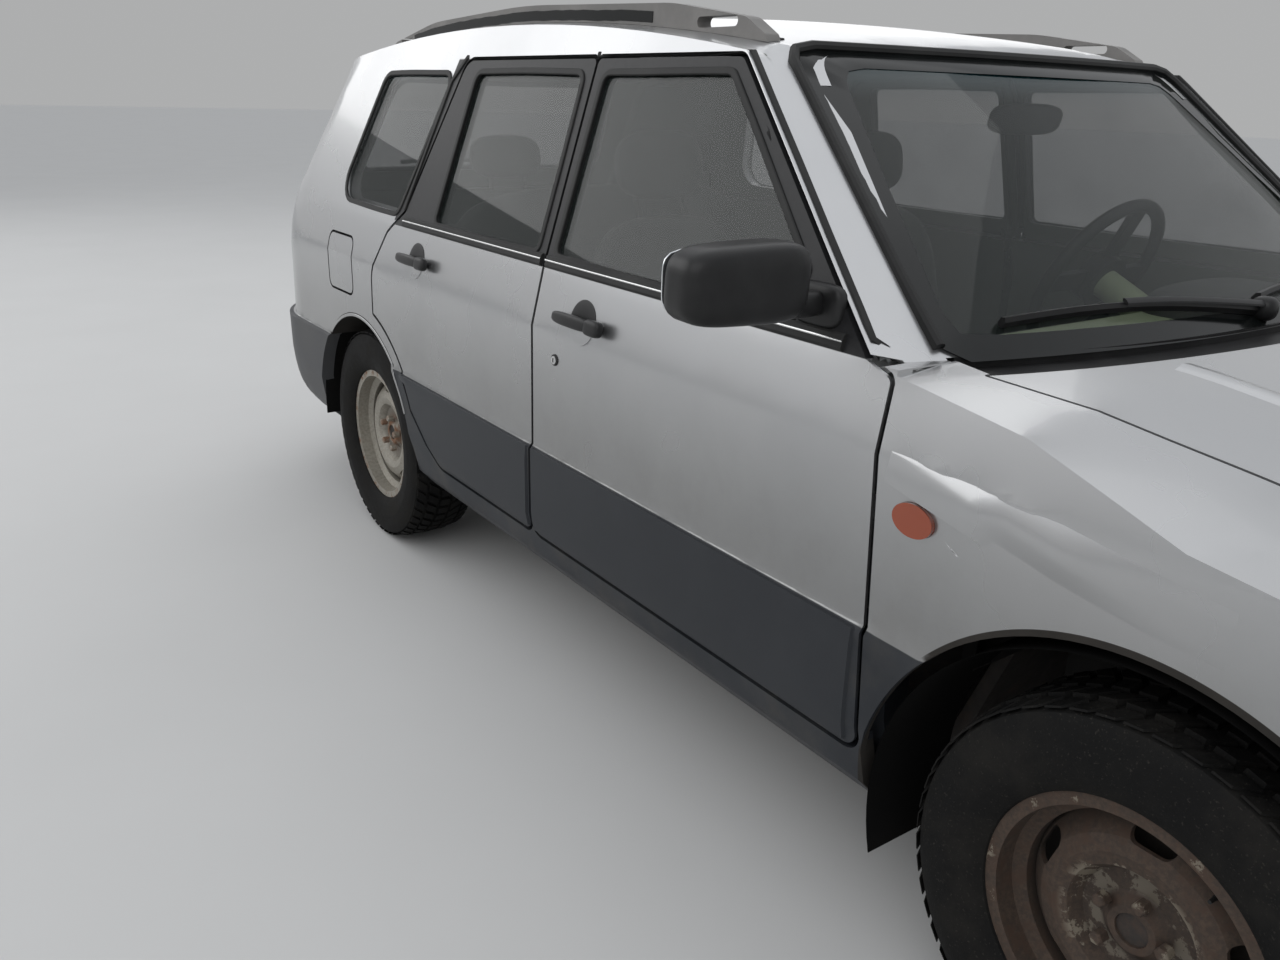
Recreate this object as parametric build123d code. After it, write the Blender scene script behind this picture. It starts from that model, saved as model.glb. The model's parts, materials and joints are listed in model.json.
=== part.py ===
from build123d import *

import math
import os
from functools import lru_cache

# A compact sport utility car with four doors and a tailgate.
# Frame: +X is the car's left, the front faces -Y, +Z is up, and the origin is on the
# ground under the middle of the car. Lengths are in millimetres, angles in degrees.

# Main sizes
HALF_LENGTH = 2225.0
HALF_WIDTH = 867.0
FRONT_AXLE_Y = -1335.0
REAR_AXLE_Y = 1190.0
HALF_TRACK = 733.0
BELT_Z = 1000.0
BELT_FALL = 0.08
FLOOR_RISE = 0.27
ROOF_TOP_Z = 1545.0
ROOF_APEX_Y = 600.0
ROOF_LONG_RADIUS = 7000.0
ROOF_CROSS_RADIUS = 5200.0

# Wheels
TYRE_RADIUS = 330.0
TYRE_WIDTH = 205.0
RIM_SEAT_RADIUS = 189.0
HUB_BORE = 24.0
WINDOW_COUNT = 5
FRONT_ARCH_RADIUS = 427.0
REAR_ARCH_RADIUS = 378.0
ARCH_RISE = 4.0

# Wall depths below the outer surface, low on the body and at the window frames
SKIN_LOW = 25.0
SKIN_HIGH = 14.0
DOOR_LOW = 92.0
DOOR_HIGH = 30.0
SEAL_SPACE = 6.0
WALL_LOW = 112.0
WALL_HIGH = 42.0
SHELL = 14.0
BUMPER_WALL = 40.0
ROOF_WALL = 26.0

# Clearances
DOOR_GAP = 9.0
PANEL_GAP = 6.0
FIT = 0.3
INNER_INSET = 24.0
INNER_CLEARANCE = 14.0

# Hinges of the doors
HINGE_BACK = 36.0
HINGE_DEPTH = 14.0
FLANGE = 6.0
STRIP = 54.0
POCKET_LOW = 58.0
PIN_RADIUS = 6.0
KNUCKLE = 46.0
HINGE_HEIGHTS = (500.0, 800.0)
PILLAR_TOPS = (BELT_Z + 34.0, BELT_Z + 200.0)

# Glass
GLASS_INSET = 6.0
GLASS_THICKNESS = 5.0

FAR = 3000.0

# Overlap of two layers that are joined, and depth of the cabin's foot below the belt
BITE = 0.5
FOOT_DEPTH = 8.0
BODY_FRONT_Y = -925.0

# Roof, screens and tailgate
ROOF_SPLIT_X = 598.0
TAILGATE_FRONT_Y = 1645.0
TAILGATE_WALL = 62.0
TAILGATE_HINGE = (1650.0, 1466.0)
TAILGATE_HINGE_X = 330.0
WHEELHOUSE_WALL = 8.0
WHEELHOUSE_X = 480.0
BUMPER_TOP_Z = 604.0
REAR_SILL_Z = 632.0

# Outlines seen from the front or behind: half width, height, corner radius
SCREEN = [
    (715.0, 1003.0, 20.0),
    (548.0, 1436.0, 60.0),
]
TAILGATE = [
    (560.0, REAR_SILL_Z + PANEL_GAP, 30.0),
    (604.0, 1000.0, 200.0),
    (505.0, 1600.0, 0.0),
]
REAR_GLASS = [
    (520.0, 1060.0, 40.0),
    (440.0, 1385.0, 60.0),
]
AIR_INTAKE = [
    (330.0, 350.0, 25.0),
    (350.0, 440.0, 25.0),
]
TAIL_LAMP = [
    (616.0, 690.0, 15.0),
    (900.0, 690.0, 0.0),
    (900.0, 950.0, 0.0),
    (622.0, 950.0, 15.0),
]
TAIL_LAMP_FRONT_Y = 2030.0
PLATE_SPACING = 300.0
PLATE_HOLE_RADIUS = 3.0
FRONT_PLATE_Z = 575.0
REAR_PLATE_Z = 790.0
TAIL_LAMP_DEPTH = 30.2

# Bonnet seen from above: half width, place, corner radius
BONNET = [
    (722.0, -880.0, 0.0),
    (682.0, -1104.0, 400.0),
    (632.0, -1323.0, 700.0),
    (600.0, -1700.0, 900.0),
    (575.0, -2300.0, 0.0),
]
BONNET_BULGE_RADIUS = 1918.0
BONNET_BULGE_Y = 838.0
BONNET_LOW_Z = 826.0
FRONT_BUMPER_TOP_Z = 620.0
WING_INNER_X = 570.0
WING_LOW_Z = 318.0
LAMP_INNER_X = 372.0
LAMP_REAR_Y = -1985.0
LAMP_TOP_Z = 816.0
REPEATER = (-962.0, 807.0)
REPEATER_SIZE = (72.0, 50.0)
GRILLE_SLOTS = 4
GRILLE_PITCH = 42.0
GRILLE_BAR = 14.0

# Roof rail of the right side: place, height, corner radius; openings: place, height,
# half length, half height
RAIL_X = 590.0
RAIL_HALF = 17.0
RAIL = [
    (-305.0, 1440.0, 0.0),
    (-290.0, 1466.0, 10.0),
    (-235.0, 1497.0, 60.0),
    (-5.0, 1530.0, 500.0),
    (600.0, 1551.0, 3000.0),
    (1120.0, 1530.0, 900.0),
    (1395.0, 1484.0, 60.0),
    (1450.0, 1460.0, 10.0),
    (1460.0, 1430.0, 0.0),
    (600.0, 1430.0, 0.0),
]
RAIL_OPENINGS = [(-150.0, 1491.0, 62.0, 10.0), (1318.0, 1487.0, 40.0, 6.0)]

# Running gear
FRONT_KINGPIN_LOW = (-690.0, 200.0)
FRONT_KINGPIN_HIGH = (-560.0, 886.0)
BALL_JOINT_Z = 190.0
TOP_BEARING_DROP = 2.2
SPINDLE_RADIUS = HUB_BORE - FIT
SHELF_Z = 886.0
SHELF_THICKNESS = 12.0
RAIL_LOW_Z = 430.0
RAIL_HIGH_Z = 510.0
INNER_WING_X = 440.0

# Floor and cabin
FLOOR_LOW_Z = 287.0
FLOOR_THICKNESS = 26.0
FIREWALL_Y = -985.0
FIREWALL_THICKNESS = 25.0
FLOOR_SIDE = [
    (FIREWALL_Y, 528.0, 0.0),
    (-900.0, FLOOR_LOW_Z, 40.0),
    (700.0, FLOOR_LOW_Z, 20.0),
    (760.0, 400.0, 20.0),
    (960.0, 480.0, 20.0),
    (1000.0, 545.0, 20.0),
    (2100.0, 545.0, 0.0),
    (2100.0, 567.0, 0.0),
    (988.0, 567.0, 20.0),
    (946.0, 503.0, 20.0),
    (744.0, 424.0, 20.0),
    (684.0, FLOOR_LOW_Z + FLOOR_THICKNESS, 20.0),
    (-880.0, FLOOR_LOW_Z + FLOOR_THICKNESS, 40.0),
    (FIREWALL_Y + FIREWALL_THICKNESS, 528.0, 0.0),
]
TUNNEL_HALF = 120.0
TUNNEL_REAR_Y = 860.0
TUNNEL_TOP_Z = 440.0
TUNNEL_WALL = 14.0
SEAT_X = 370.0
STEERING_X = 340.0
STEERING_CENTRE = (-430.0, 985.0)
STEERING_RADIUS = 185.0
STEERING_TILT = 25.0
SCUTTLE_LOW_Z = 962.0
SCUTTLE_HIGH_Z = 986.0
SPRING_COILS = 7
FLAP_WALL = 5.0
FLAP_RECESS = 52.0
FLAP_GAP = 7.0
FLAP_PIN = 4.0
FLAP_HINGE_DEPTH = 10.0
FLAP_HINGE_BACK = 30.0
FRONT_HANDLE = (-63.0, 915.0)
REAR_HANDLE = (768.0, 925.0)

# Horizontal sections of the lower body: height, half width, front, front corner radius,
# rear, rear corner radius
BODY_LEVELS = [
    (285.0, 800.0, -2120.0, 420.0, 2130.0, 380.0),
    (335.0, 846.0, -2200.0, 470.0, 2200.0, 430.0),
    (440.0, 866.0, -HALF_LENGTH, 500.0, HALF_LENGTH, 450.0),
    (598.0, HALF_WIDTH, -HALF_LENGTH + 3.0, 500.0, HALF_LENGTH, 450.0),
    (610.0, HALF_WIDTH - 9.0, -2190.0, 480.0, 2175.0, 440.0),
    (880.0, HALF_WIDTH - 10.0, -2130.0, 470.0, 2150.0, 420.0),
    (BELT_Z, 828.0, -2100.0, 440.0, 2115.0, 380.0),
]

# Cross sections of the bonnet and wings: place along the car, height at the sides,
# height in the middle
NOSE_SECTIONS = [
    (-780.0, 1000.0, 1026.0),
    (-1104.0, 958.0, 1005.0),
    (-1335.0, 888.0, 975.0),
    (-1750.0, 846.0, 942.0),
    (-2260.0, 730.0, 850.0),
]
NOSE_EDGE_X = 900.0
NOSE_REAR_Y = -800.0
NOSE_TOP_Z = 1040.0

# Cabin sections at the belt and at the screen's top: height, half width, screen corner,
# screen middle, rear, rear corner radius
CABIN_LEVELS = [
    (BELT_Z, 828.0, -830.0, -985.0, 2115.0, 380.0),
    (1456.0, 684.0, -318.0, -385.0, 1760.0, 300.0),
]
CABIN_TOP_Z = 1580.0

# Side outlines: place along the car, height, corner radius
FRONT_DOOR = [
    (-905.0, 395.0, 30.0),
    (-869.0, 985.0, 12.0),
    (-814.0, 1002.5, 8.0),
    (-338.0, 1424.0, 30.0),
    (125.0, 1424.0, 12.0),
    (125.0, 395.0, 30.0),
]
REAR_DOOR = [
    (134.0, 395.0, 30.0),
    (134.0, 1424.0, 12.0),
    (735.0, 1424.0, 50.0),
    (893.0, 1040.0, 20.0),
    (985.0, 975.0, 40.0),
    (1062.0, 850.0, 90.0),
    (1072.0, 600.0, 20.0),
    (860.0, 560.0, 20.0),
    (640.0, 395.0, 60.0),
]
REAR_DOOR_ARCH = 432.0
FRONT_WINDOW = [
    (-640.0, 1032.0, 12.0),
    (-640.0, 1108.0, 10.0),
    (-321.0, 1394.0, 30.0),
    (86.0, 1394.0, 25.0),
    (92.0, 1032.0, 20.0),
]
REAR_WINDOW = [
    (172.0, 1032.0, 20.0),
    (172.0, 1394.0, 25.0),
    (664.0, 1394.0, 30.0),
    (700.0, 1032.0, 20.0),
]
QUARTER_WINDOW = [
    (945.0, 1034.0, 40.0),
    (800.0, 1392.0, 30.0),
    (1236.0, 1388.0, 50.0),
    (1392.0, 1040.0, 60.0),
]
FUEL_FLAP = [
    (1225.0, 768.0, 25.0),
    (1225.0, 932.0, 25.0),
    (1420.0, 932.0, 25.0),
    (1420.0, 768.0, 25.0),
]


def outline(rows):
    """Closed face from rows of two coordinates and a corner radius."""
    points = [(row[0], row[1]) for row in rows]
    radii = [row[2] for row in rows]
    return make_face(FilletPolyline(*points, radius=radii, close=True))


def mirrored_rows(rows):
    """Rows of the right half followed by the same rows on the left."""
    return rows + [(-row[0], row[1], row[2]) for row in reversed(rows)]


def side_prism(face, near=-FAR, far=-350.0):
    """Prism of a side outline between two distances across the car."""
    return extrude(Plane.YZ.offset(near) * face, amount=far - near, dir=(1, 0, 0))


def end_prism(face, near, far):
    """Prism of an outline seen from the front, between two places along the car."""
    return extrude(Plane.XZ.offset(-near) * face, amount=far - near, dir=(0, 1, 0))


def plan_prism(face, low, high):
    """Prism of an outline seen from above."""
    return extrude(Plane.XY.offset(low) * face, amount=high - low, dir=(0, 0, 1))


def block(x0, x1, y0, y1, z0, z1):
    """Box between three pairs of coordinates."""
    centre = ((x0 + x1) / 2, (y0 + y1) / 2, (z0 + z1) / 2)
    return Pos(*centre) * Box(abs(x1 - x0), abs(y1 - y0), abs(z1 - z0))


def rod(start, end, radius):
    """Round bar from one point to another."""
    path = Vector(*end) - Vector(*start)
    plane = Plane(origin=start, z_dir=path)
    return extrude(plane * Circle(radius), amount=path.length)


def cross_tube(y, z, radius, x0, x1):
    """Round bar across the car."""
    return rod((x0, y, z), (x1, y, z), radius)


def mirror_x(shape):
    """The same shape on the other side of the car."""
    return mirror(shape, about=Plane.YZ)


def level_outline(row, inset):
    """Rounded rectangle of one level of the lower body."""
    z, half, front, front_radius, rear, rear_radius = row
    corners = [
        (half - inset, front + inset, front_radius - inset),
        (half - inset, rear - inset, rear_radius - inset),
        (inset - half, rear - inset, rear_radius - inset),
        (inset - half, front + inset, front_radius - inset),
    ]
    return Plane.XY.offset(z) * outline(corners)


def belt_height(inset):
    """Height where the lower body ends under the cabin; a little lower for inner forms."""
    return BELT_Z - BELT_FALL * inset


def lower_body(inset, top_row=None):
    """Lower body from the sills to the belt, drawn in by the inset."""
    first = list(BODY_LEVELS[0])
    first[0] += FLOOR_RISE * inset
    last = list(BODY_LEVELS[-1])
    last[0] = belt_height(inset)
    rows = [first] + BODY_LEVELS[1:-1] + [last]
    if top_row is not None:
        rows.append(top_row)
    return loft([level_outline(row, inset) for row in rows], ruled=True)


def crown_section(y, edge_z, middle_z, drop):
    """Cross section of the nose under its crowned top."""
    arc = ThreePointArc(
        (-NOSE_EDGE_X, edge_z - drop), (0, middle_z - drop), (NOSE_EDGE_X, edge_z - drop)
    )
    base = Polyline(
        (NOSE_EDGE_X, edge_z - drop), (NOSE_EDGE_X, 200), (-NOSE_EDGE_X, 200), (-NOSE_EDGE_X, edge_z - drop)
    )
    return Plane.XZ.offset(-y) * make_face([arc.edge(), *base.edges()])


@lru_cache(maxsize=None)
def nose(inset):
    """Front body with the bonnet's crown, drawn in by the inset."""
    top_row = (NOSE_TOP_Z, 820.0, -2090.0, 430.0, 2100.0, 380.0)
    body = lower_body(inset, top_row)
    crown = loft([crown_section(*row, inset) for row in NOSE_SECTIONS], ruled=True)
    front = block(-FAR, FAR, -FAR, NOSE_REAR_Y, 0, FAR)
    return body & crown & front


def cabin_outline(z, inset):
    """Outline of the cabin at a height, with the screen as an arc."""
    low, high = CABIN_LEVELS
    share = (z - low[0]) / (high[0] - low[0])
    half, corner, middle, rear, radius = [
        a + (b - a) * share for a, b in zip(low[1:], high[1:])
    ]
    half -= inset
    rear -= inset
    radius -= inset
    screen = ThreePointArc(
        (-half, corner + inset), (0, middle + inset), (half, corner + inset)
    )
    sides = [
        Line((half, corner + inset), (half, rear - radius)),
        RadiusArc((half, rear - radius), (half - radius, rear), -radius),
        Line((half - radius, rear), (radius - half, rear)),
        RadiusArc((radius - half, rear), (-half, rear - radius), -radius),
        Line((-half, rear - radius), (-half, corner + inset)),
    ]
    return Plane.XY.offset(z) * make_face([screen.edge()] + [side.edge() for side in sides])


def roof_crown(drop):
    """Everything under the doubly curved roof."""
    edge = 950.0
    fall = ROOF_CROSS_RADIUS - math.sqrt(ROOF_CROSS_RADIUS ** 2 - edge ** 2)
    top = ROOF_TOP_Z - drop
    arc = ThreePointArc((-edge, top - fall), (0, top), (edge, top - fall))
    base = Polyline((edge, top - fall), (edge, 500), (-edge, 500), (-edge, top - fall))
    face = Plane.XZ.offset(-ROOF_APEX_Y) * make_face([arc.edge(), *base.edges()])
    axis = Axis((0, ROOF_APEX_Y, ROOF_TOP_Z - ROOF_LONG_RADIUS), (1, 0, 0))
    half_angle = 20.0
    turned = face.rotate(axis, -half_angle)
    return revolve(turned, axis=axis, revolution_arc=2 * half_angle)


@lru_cache(maxsize=None)
def cabin(inset, drop, foot=BELT_Z):
    """Glasshouse above the belt, drawn in by the inset and lowered by the drop."""
    body = loft([cabin_outline(foot, inset), cabin_outline(CABIN_TOP_Z, inset)], ruled=True)
    return body & roof_crown(drop)


@lru_cache(maxsize=None)
def rear_body(inset):
    """Lower body behind the nose at a depth below its surface."""
    return lower_body(inset) & block(-FAR, FAR, BODY_FRONT_Y, FAR, 0, FAR)


@lru_cache(maxsize=None)
def body_form(low, high, drop=None):
    """Whole body behind the nose at a depth below its surface."""
    foot = belt_height(low) - FOOT_DEPTH if low > 0 else BELT_Z
    return rear_body(low) + cabin(high, high if drop is None else drop, foot)


OUTER = body_form(0.0, 0.0)


def stepped(face, step, forms, prism):
    """Panel of two layers: the outer one has the whole outline, the inner one is smaller."""
    outer, skin, start, inner = forms
    first = (outer - skin) & prism(face)
    second = (start - inner) & prism(offset(face, amount=-step))
    return first, second


def side_zone(depth):
    """Prism of the body's right side down to a depth below the side windows."""
    low, high = CABIN_LEVELS
    rows = [
        (-HALF_WIDTH - 100.0, 200.0),
        (-ROOF_SPLIT_X, 200.0),
        (-ROOF_SPLIT_X, low[0] - 12.0),
        (depth - low[1], low[0] - 12.0),
        (depth - low[1], low[0]),
        (depth - high[1], high[0]),
        (-HALF_WIDTH - 100.0, high[0]),
    ]
    return end_prism(Polygon(*rows, align=None), -FAR, FAR)


def door_line(rows, z):
    """Place of a door's front edge at a height."""
    (low_y, low_z, _), (high_y, high_z, _) = rows[0], rows[1]
    return low_y + (high_y - low_y) * (z - low_z) / (high_z - low_z)


def hinge_strip(rows, ahead, behind, top):
    """Side prism of the strip along a door's front edge, where its hinges are."""
    low = 300.0
    corners = [
        (door_line(rows, low) - ahead, low, 0),
        (door_line(rows, top) - ahead, top, 0),
        (door_line(rows, top) + behind, top, 0),
        (door_line(rows, low) + behind, low, 0),
    ]
    return side_prism(Polygon(*[row[:2] for row in corners], align=None))


def hinge_point(rows, z):
    """Point of a right door's hinge axis at a height."""
    low_z, high_z = HINGE_HEIGHTS
    low_x = HALF_WIDTH - 2.0 - HINGE_DEPTH
    high_x = HALF_WIDTH - 9.0 - HINGE_DEPTH
    x = low_x + (high_x - low_x) * (z - low_z) / (high_z - low_z)
    return (-x, door_line(rows, z) + HINGE_BACK, z)


def hinges(rows):
    """Pins and leaves of one door's two hinges: the pillar's half and the door's half."""
    pillar = []
    door = []
    for z in HINGE_HEIGHTS:
        low = hinge_point(rows, z - KNUCKLE)
        middle = hinge_point(rows, z)
        gap = hinge_point(rows, z + FIT)
        high = hinge_point(rows, z + KNUCKLE)
        pillar.append(rod(low, middle, PIN_RADIUS))
        door.append(rod(gap, high, PIN_RADIUS))
        x, y, _ = middle
        reach = POCKET_LOW + 12.0 - HINGE_DEPTH
        pillar.append(block(x, x + reach, y - 1.0, y + 7.0, low[2] + 3.0, z - 2.0))
        back = STRIP + 14.0 - HINGE_BACK
        door.append(block(x - 4.0, x + 6.0, y, y + back, z + 2.0, high[2] - 3.0))
    return pillar, door


def frame_layer(outer, inner, cuts):
    """One layer of the right side frame between two body forms, without its openings."""
    side = block(-HALF_WIDTH - 100.0, -ROOF_SPLIT_X, -FAR, FAR, 0, FAR)
    corner = block(-ROOF_SPLIT_X, -300, TAILGATE_FRONT_Y - DOOR_GAP, FAR, REAR_SILL_Z, FAR)
    zone = (side + corner) - front_limit() - rear_limit()
    for cut in cuts:
        zone = zone - cut
    return (outer & zone) - inner


def right_side():
    """Side frame and both doors of the right side."""
    skin = body_form(SKIN_LOW, SKIN_HIGH)
    start = body_form(SKIN_LOW - BITE, SKIN_HIGH - BITE)
    inner = body_form(DOOR_LOW, DOOR_HIGH)
    flange = body_form(FLANGE, FLANGE)
    seal = body_form(SKIN_LOW + SEAL_SPACE, SKIN_HIGH + SEAL_SPACE)
    arch = Pos(REAR_AXLE_Y, TYRE_RADIUS - ARCH_RISE) * Circle(REAR_DOOR_ARCH)
    faces = [outline(FRONT_DOOR), outline(REAR_DOOR) - arch]
    door_zone = side_zone(DOOR_HIGH + 0.5)
    hole_zone = side_zone(WALL_HIGH + 3.0)
    common = [
        side_prism(outline(QUARTER_WINDOW)),
        side_prism(wheel_circle(REAR_AXLE_Y, REAR_ARCH_RADIUS)),
        screen_prism(0.0),
        tailgate_prism(PANEL_GAP),
        block(-SCREEN[0][0], SCREEN[0][0], -FAR, -815.0, 0, SCREEN[0][1]),
    ]
    outer_cuts = common + [lamp_prism(FIT)]
    middle_cuts = list(common)
    inner_cuts = list(common)
    doors = []
    leaves = []
    forms = (OUTER, skin, start, inner)
    outlines = zip(faces, (FRONT_DOOR, REAR_DOOR), (FRONT_WINDOW, REAR_WINDOW), PILLAR_TOPS)
    for face, rows, window, pillar_top in outlines:
        first, second = stepped(face, INNER_INSET, forms, lambda part: side_prism(part) & door_zone)
        first = first - (flange & hinge_strip(rows, 30.0, STRIP, BELT_Z + 4.0))
        second = second - hinge_strip(rows, 30.0, STRIP, BELT_Z + 4.0)
        pillar_leaf, door_leaf = hinges(rows)
        doors.append(joined(first + second - side_prism(outline(window)), door_leaf))
        leaves += pillar_leaf
        through = side_prism(offset(face, amount=INNER_CLEARANCE - INNER_INSET))
        through = (through & hole_zone) - hinge_strip(rows, 60.0, HINGE_BACK + 10.0, BELT_Z + 4.0)
        outer_cuts.append(side_prism(offset(face, amount=DOOR_GAP)) & hole_zone)
        middle_cuts += [through, hinge_strip(rows, DOOR_GAP, STRIP + INNER_CLEARANCE, pillar_top)]
        inner_cuts.append(through)
    frame = frame_layer(OUTER, seal, outer_cuts)
    low_seal = rear_body(SKIN_LOW + SEAL_SPACE - BITE)
    high_seal = cabin(SKIN_HIGH + SEAL_SPACE - BITE, SKIN_HIGH + SEAL_SPACE - BITE)
    pocket = body_form(POCKET_LOW, WALL_HIGH)
    frame = frame + frame_layer(low_seal, pocket, middle_cuts)
    frame = frame + frame_layer(high_seal, pocket, middle_cuts)
    frame = frame + frame_layer(rear_body(POCKET_LOW - BITE), body_form(WALL_LOW, WALL_HIGH), inner_cuts)
    return joined(frame, leaves + list(wheelhouse())), doors


def lamp_prism(grow):
    """Prism of the right tail lamp's outline seen from behind."""
    face = outline([(-x, z, radius) for x, z, radius in TAIL_LAMP])
    if grow:
        face = offset(face, amount=grow)
    return end_prism(face, TAIL_LAMP_FRONT_Y - grow, FAR)


def wheel_circle(y, radius):
    """Circle round a wheel in the side view."""
    return Pos(y, TYRE_RADIUS - ARCH_RISE) * Circle(radius)


def front_limit():
    """Everything ahead of the front door's gap and below the screen."""
    low = door_line(FRONT_DOOR, 200.0) - DOOR_GAP
    high = door_line(FRONT_DOOR, BELT_Z) - DOOR_GAP
    corners = [(low, 200.0), (high, BELT_Z), (-FAR, BELT_Z), (-FAR, 200.0)]
    return side_prism(Polygon(*corners, align=None), -FAR, FAR)


def rear_limit():
    """Space of the rear bumper below the quarter panels."""
    return block(-FAR, FAR, REAR_AXLE_Y, FAR, 0, BUMPER_TOP_Z + FIT)


def wheelhouse():
    """Inner half of the right rear wheel's housing."""
    ring = Circle(REAR_ARCH_RADIUS + WHEELHOUSE_WALL) - Circle(REAR_ARCH_RADIUS)
    centre = Pos(REAR_AXLE_Y, TYRE_RADIUS - ARCH_RISE)
    tunnel = side_prism(centre * ring, -HALF_WIDTH + WALL_LOW - 4.0, -WHEELHOUSE_X)
    disc = side_prism(
        centre * Circle(REAR_ARCH_RADIUS + WHEELHOUSE_WALL), -WHEELHOUSE_X - WHEELHOUSE_WALL, -WHEELHOUSE_X
    )
    above = block(-FAR, FAR, -FAR, FAR, 480.0, FAR)
    return ((tunnel + disc) & above).solids()


def screen_prism(grow):
    """Prism of the windscreen's outline seen from the front."""
    face = offset(outline(mirrored_rows(SCREEN)), amount=grow) if grow else outline(mirrored_rows(SCREEN))
    return end_prism(face, -FAR, -180.0)


def tailgate_prism(grow):
    """Prism of the tailgate's outline seen from behind, behind its front edge."""
    face = outline(mirrored_rows(TAILGATE))
    if grow:
        face = offset(face, amount=grow)
    front = TAILGATE_FRONT_Y - (DOOR_GAP if grow > 0 else 0.0)
    return end_prism(face, front, FAR)


def pane(prism):
    """Glass pane just under the cabin's surface inside a prism."""
    inner = cabin(GLASS_INSET + GLASS_THICKNESS, GLASS_INSET + 3.0)
    return (cabin(GLASS_INSET, GLASS_INSET) - inner) & prism


def side_pane(rows):
    """Pane of a side window on the right."""
    return pane(side_prism(offset(outline(rows), amount=-FIT)))


def plate_holes(z, near, far):
    """Two holes for a number plate's screws."""
    face = Pos(-PLATE_SPACING / 2, z) * Circle(PLATE_HOLE_RADIUS)
    return end_prism(face + Pos(PLATE_SPACING / 2, z) * Circle(PLATE_HOLE_RADIUS), near, far)


def tailgate_parts():
    """Tailgate of two layers with its window, and its glass."""
    skin = body_form(SKIN_LOW, SKIN_HIGH)
    inner = body_form(TAILGATE_WALL, DOOR_HIGH)
    first = (OUTER & tailgate_prism(0.0)) - skin
    second = (skin & tailgate_prism(-INNER_INSET)) - inner
    window = end_prism(outline(mirrored_rows(REAR_GLASS)), 1500.0, FAR)
    glass = pane(end_prism(offset(outline(mirrored_rows(REAR_GLASS)), amount=-FIT), 1500.0, FAR))
    return first + second - window - plate_holes(REAR_PLATE_Z, 2000.0, FAR), glass


def roof():
    """Roof panel between the side frames, from the screen to the tailgate."""
    shell = cabin(0.0, 0.0) - cabin(ROOF_WALL, ROOF_WALL)
    zone = block(-ROOF_SPLIT_X, ROOF_SPLIT_X, -FAR, TAILGATE_FRONT_Y - DOOR_GAP, 1380.0, FAR)
    return (shell & zone) - screen_prism(0.0)


def roof_rail():
    """Raised rail on the right side of the roof, open at both ends."""
    rail = side_prism(outline(RAIL), -RAIL_X - RAIL_HALF, -RAIL_X + RAIL_HALF)
    for y, z, half_length, half_height in RAIL_OPENINGS:
        rail = rail - side_prism(Pos(y, z) * SlotOverall(2 * half_length, 2 * half_height))
    return rail - cabin(-FIT, -FIT)


def bonnet_face(grow):
    """Outline of the bonnet seen from above."""
    face = outline(mirrored_rows(BONNET)) - Pos(0, BONNET_BULGE_Y) * Circle(BONNET_BULGE_RADIUS)
    return offset(face, amount=grow) if grow else face


def nose_parts():
    """Bonnet, wings, front bumper, grille, lamps and the scuttle under the screen."""
    outer = nose(0.0)
    shell = outer - nose(SHELL)
    thick = outer - nose(BUMPER_WALL)
    bonnet = (shell & plan_prism(bonnet_face(0.0), BONNET_LOW_Z, FAR))
    arch = side_prism(wheel_circle(FRONT_AXLE_Y, FRONT_ARCH_RADIUS), -FAR, FAR)
    bumper = (thick & block(-FAR, FAR, -FAR, FRONT_AXLE_Y, 0, FRONT_BUMPER_TOP_Z)) - arch
    bumper = bumper - end_prism(outline(mirrored_rows(AIR_INTAKE)), -FAR, -2000.0)
    bumper = bumper - plate_holes(FRONT_PLATE_Z, -FAR, -2000.0)
    zone = front_limit() & block(-FAR, -WING_INNER_X, -FAR, FAR, WING_LOW_Z, FAR)
    zone -= block(-705.0, -300.0, -1000.0, FAR, 0, FAR)
    zone -= block(-FAR, FAR, -FAR, FRONT_AXLE_Y, 0, FRONT_BUMPER_TOP_Z + FIT)
    zone -= block(-FAR, FAR, -FAR, LAMP_REAR_Y + FIT, 0, LAMP_TOP_Z + FIT)
    wing = (shell & (zone - arch)) - plan_prism(bonnet_face(PANEL_GAP), BONNET_LOW_Z - PANEL_GAP, FAR)
    lamp_box = block(-FAR, -LAMP_INNER_X, -FAR, LAMP_REAR_Y, FRONT_BUMPER_TOP_Z + FIT, LAMP_TOP_Z)
    lamp = thick & lamp_box
    length, height = REPEATER_SIZE
    wing = wing - side_prism(Pos(*REPEATER) * Ellipse(length / 2 + FIT, height / 2 + FIT), -FAR, -700.0)
    repeater = Pos(*REPEATER) * Ellipse(length / 2, height / 2)
    lens = side_prism(repeater, -HALF_WIDTH + 3.0, -HALF_WIDTH + 22.0)
    grille_box = block(
        -LAMP_INNER_X + FIT, LAMP_INNER_X - FIT, -FAR, LAMP_REAR_Y, FRONT_BUMPER_TOP_Z + FIT, LAMP_TOP_Z
    )
    grille = thick & grille_box
    for row in range(GRILLE_SLOTS):
        low = FRONT_BUMPER_TOP_Z + 24.0 + row * GRILLE_PITCH
        grille = grille - block(
            -LAMP_INNER_X + 24.0, LAMP_INNER_X - 24.0, -FAR, FAR, low, low + GRILLE_PITCH - GRILLE_BAR
        )
    return bonnet, wing, bumper, lamp, lens, grille


def scuttle():
    """Panel between the bonnet and the screen, with the ledge that carries the glass."""
    disc = Pos(0, BONNET_BULGE_Y) * Circle(BONNET_BULGE_RADIUS - PANEL_GAP - 2.0)
    plan = disc & (Pos(0, -985.0) * Rectangle(1396.0, 250.0))
    plate = plan_prism(plan, SCUTTLE_LOW_Z, SCUTTLE_HIGH_Z)
    ring = cabin_ring(4.0, 24.0) & block(-700.0, 700.0, -FAR, -830.0, SCUTTLE_LOW_Z, 1003.0 - FIT)
    return plate + ring


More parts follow.
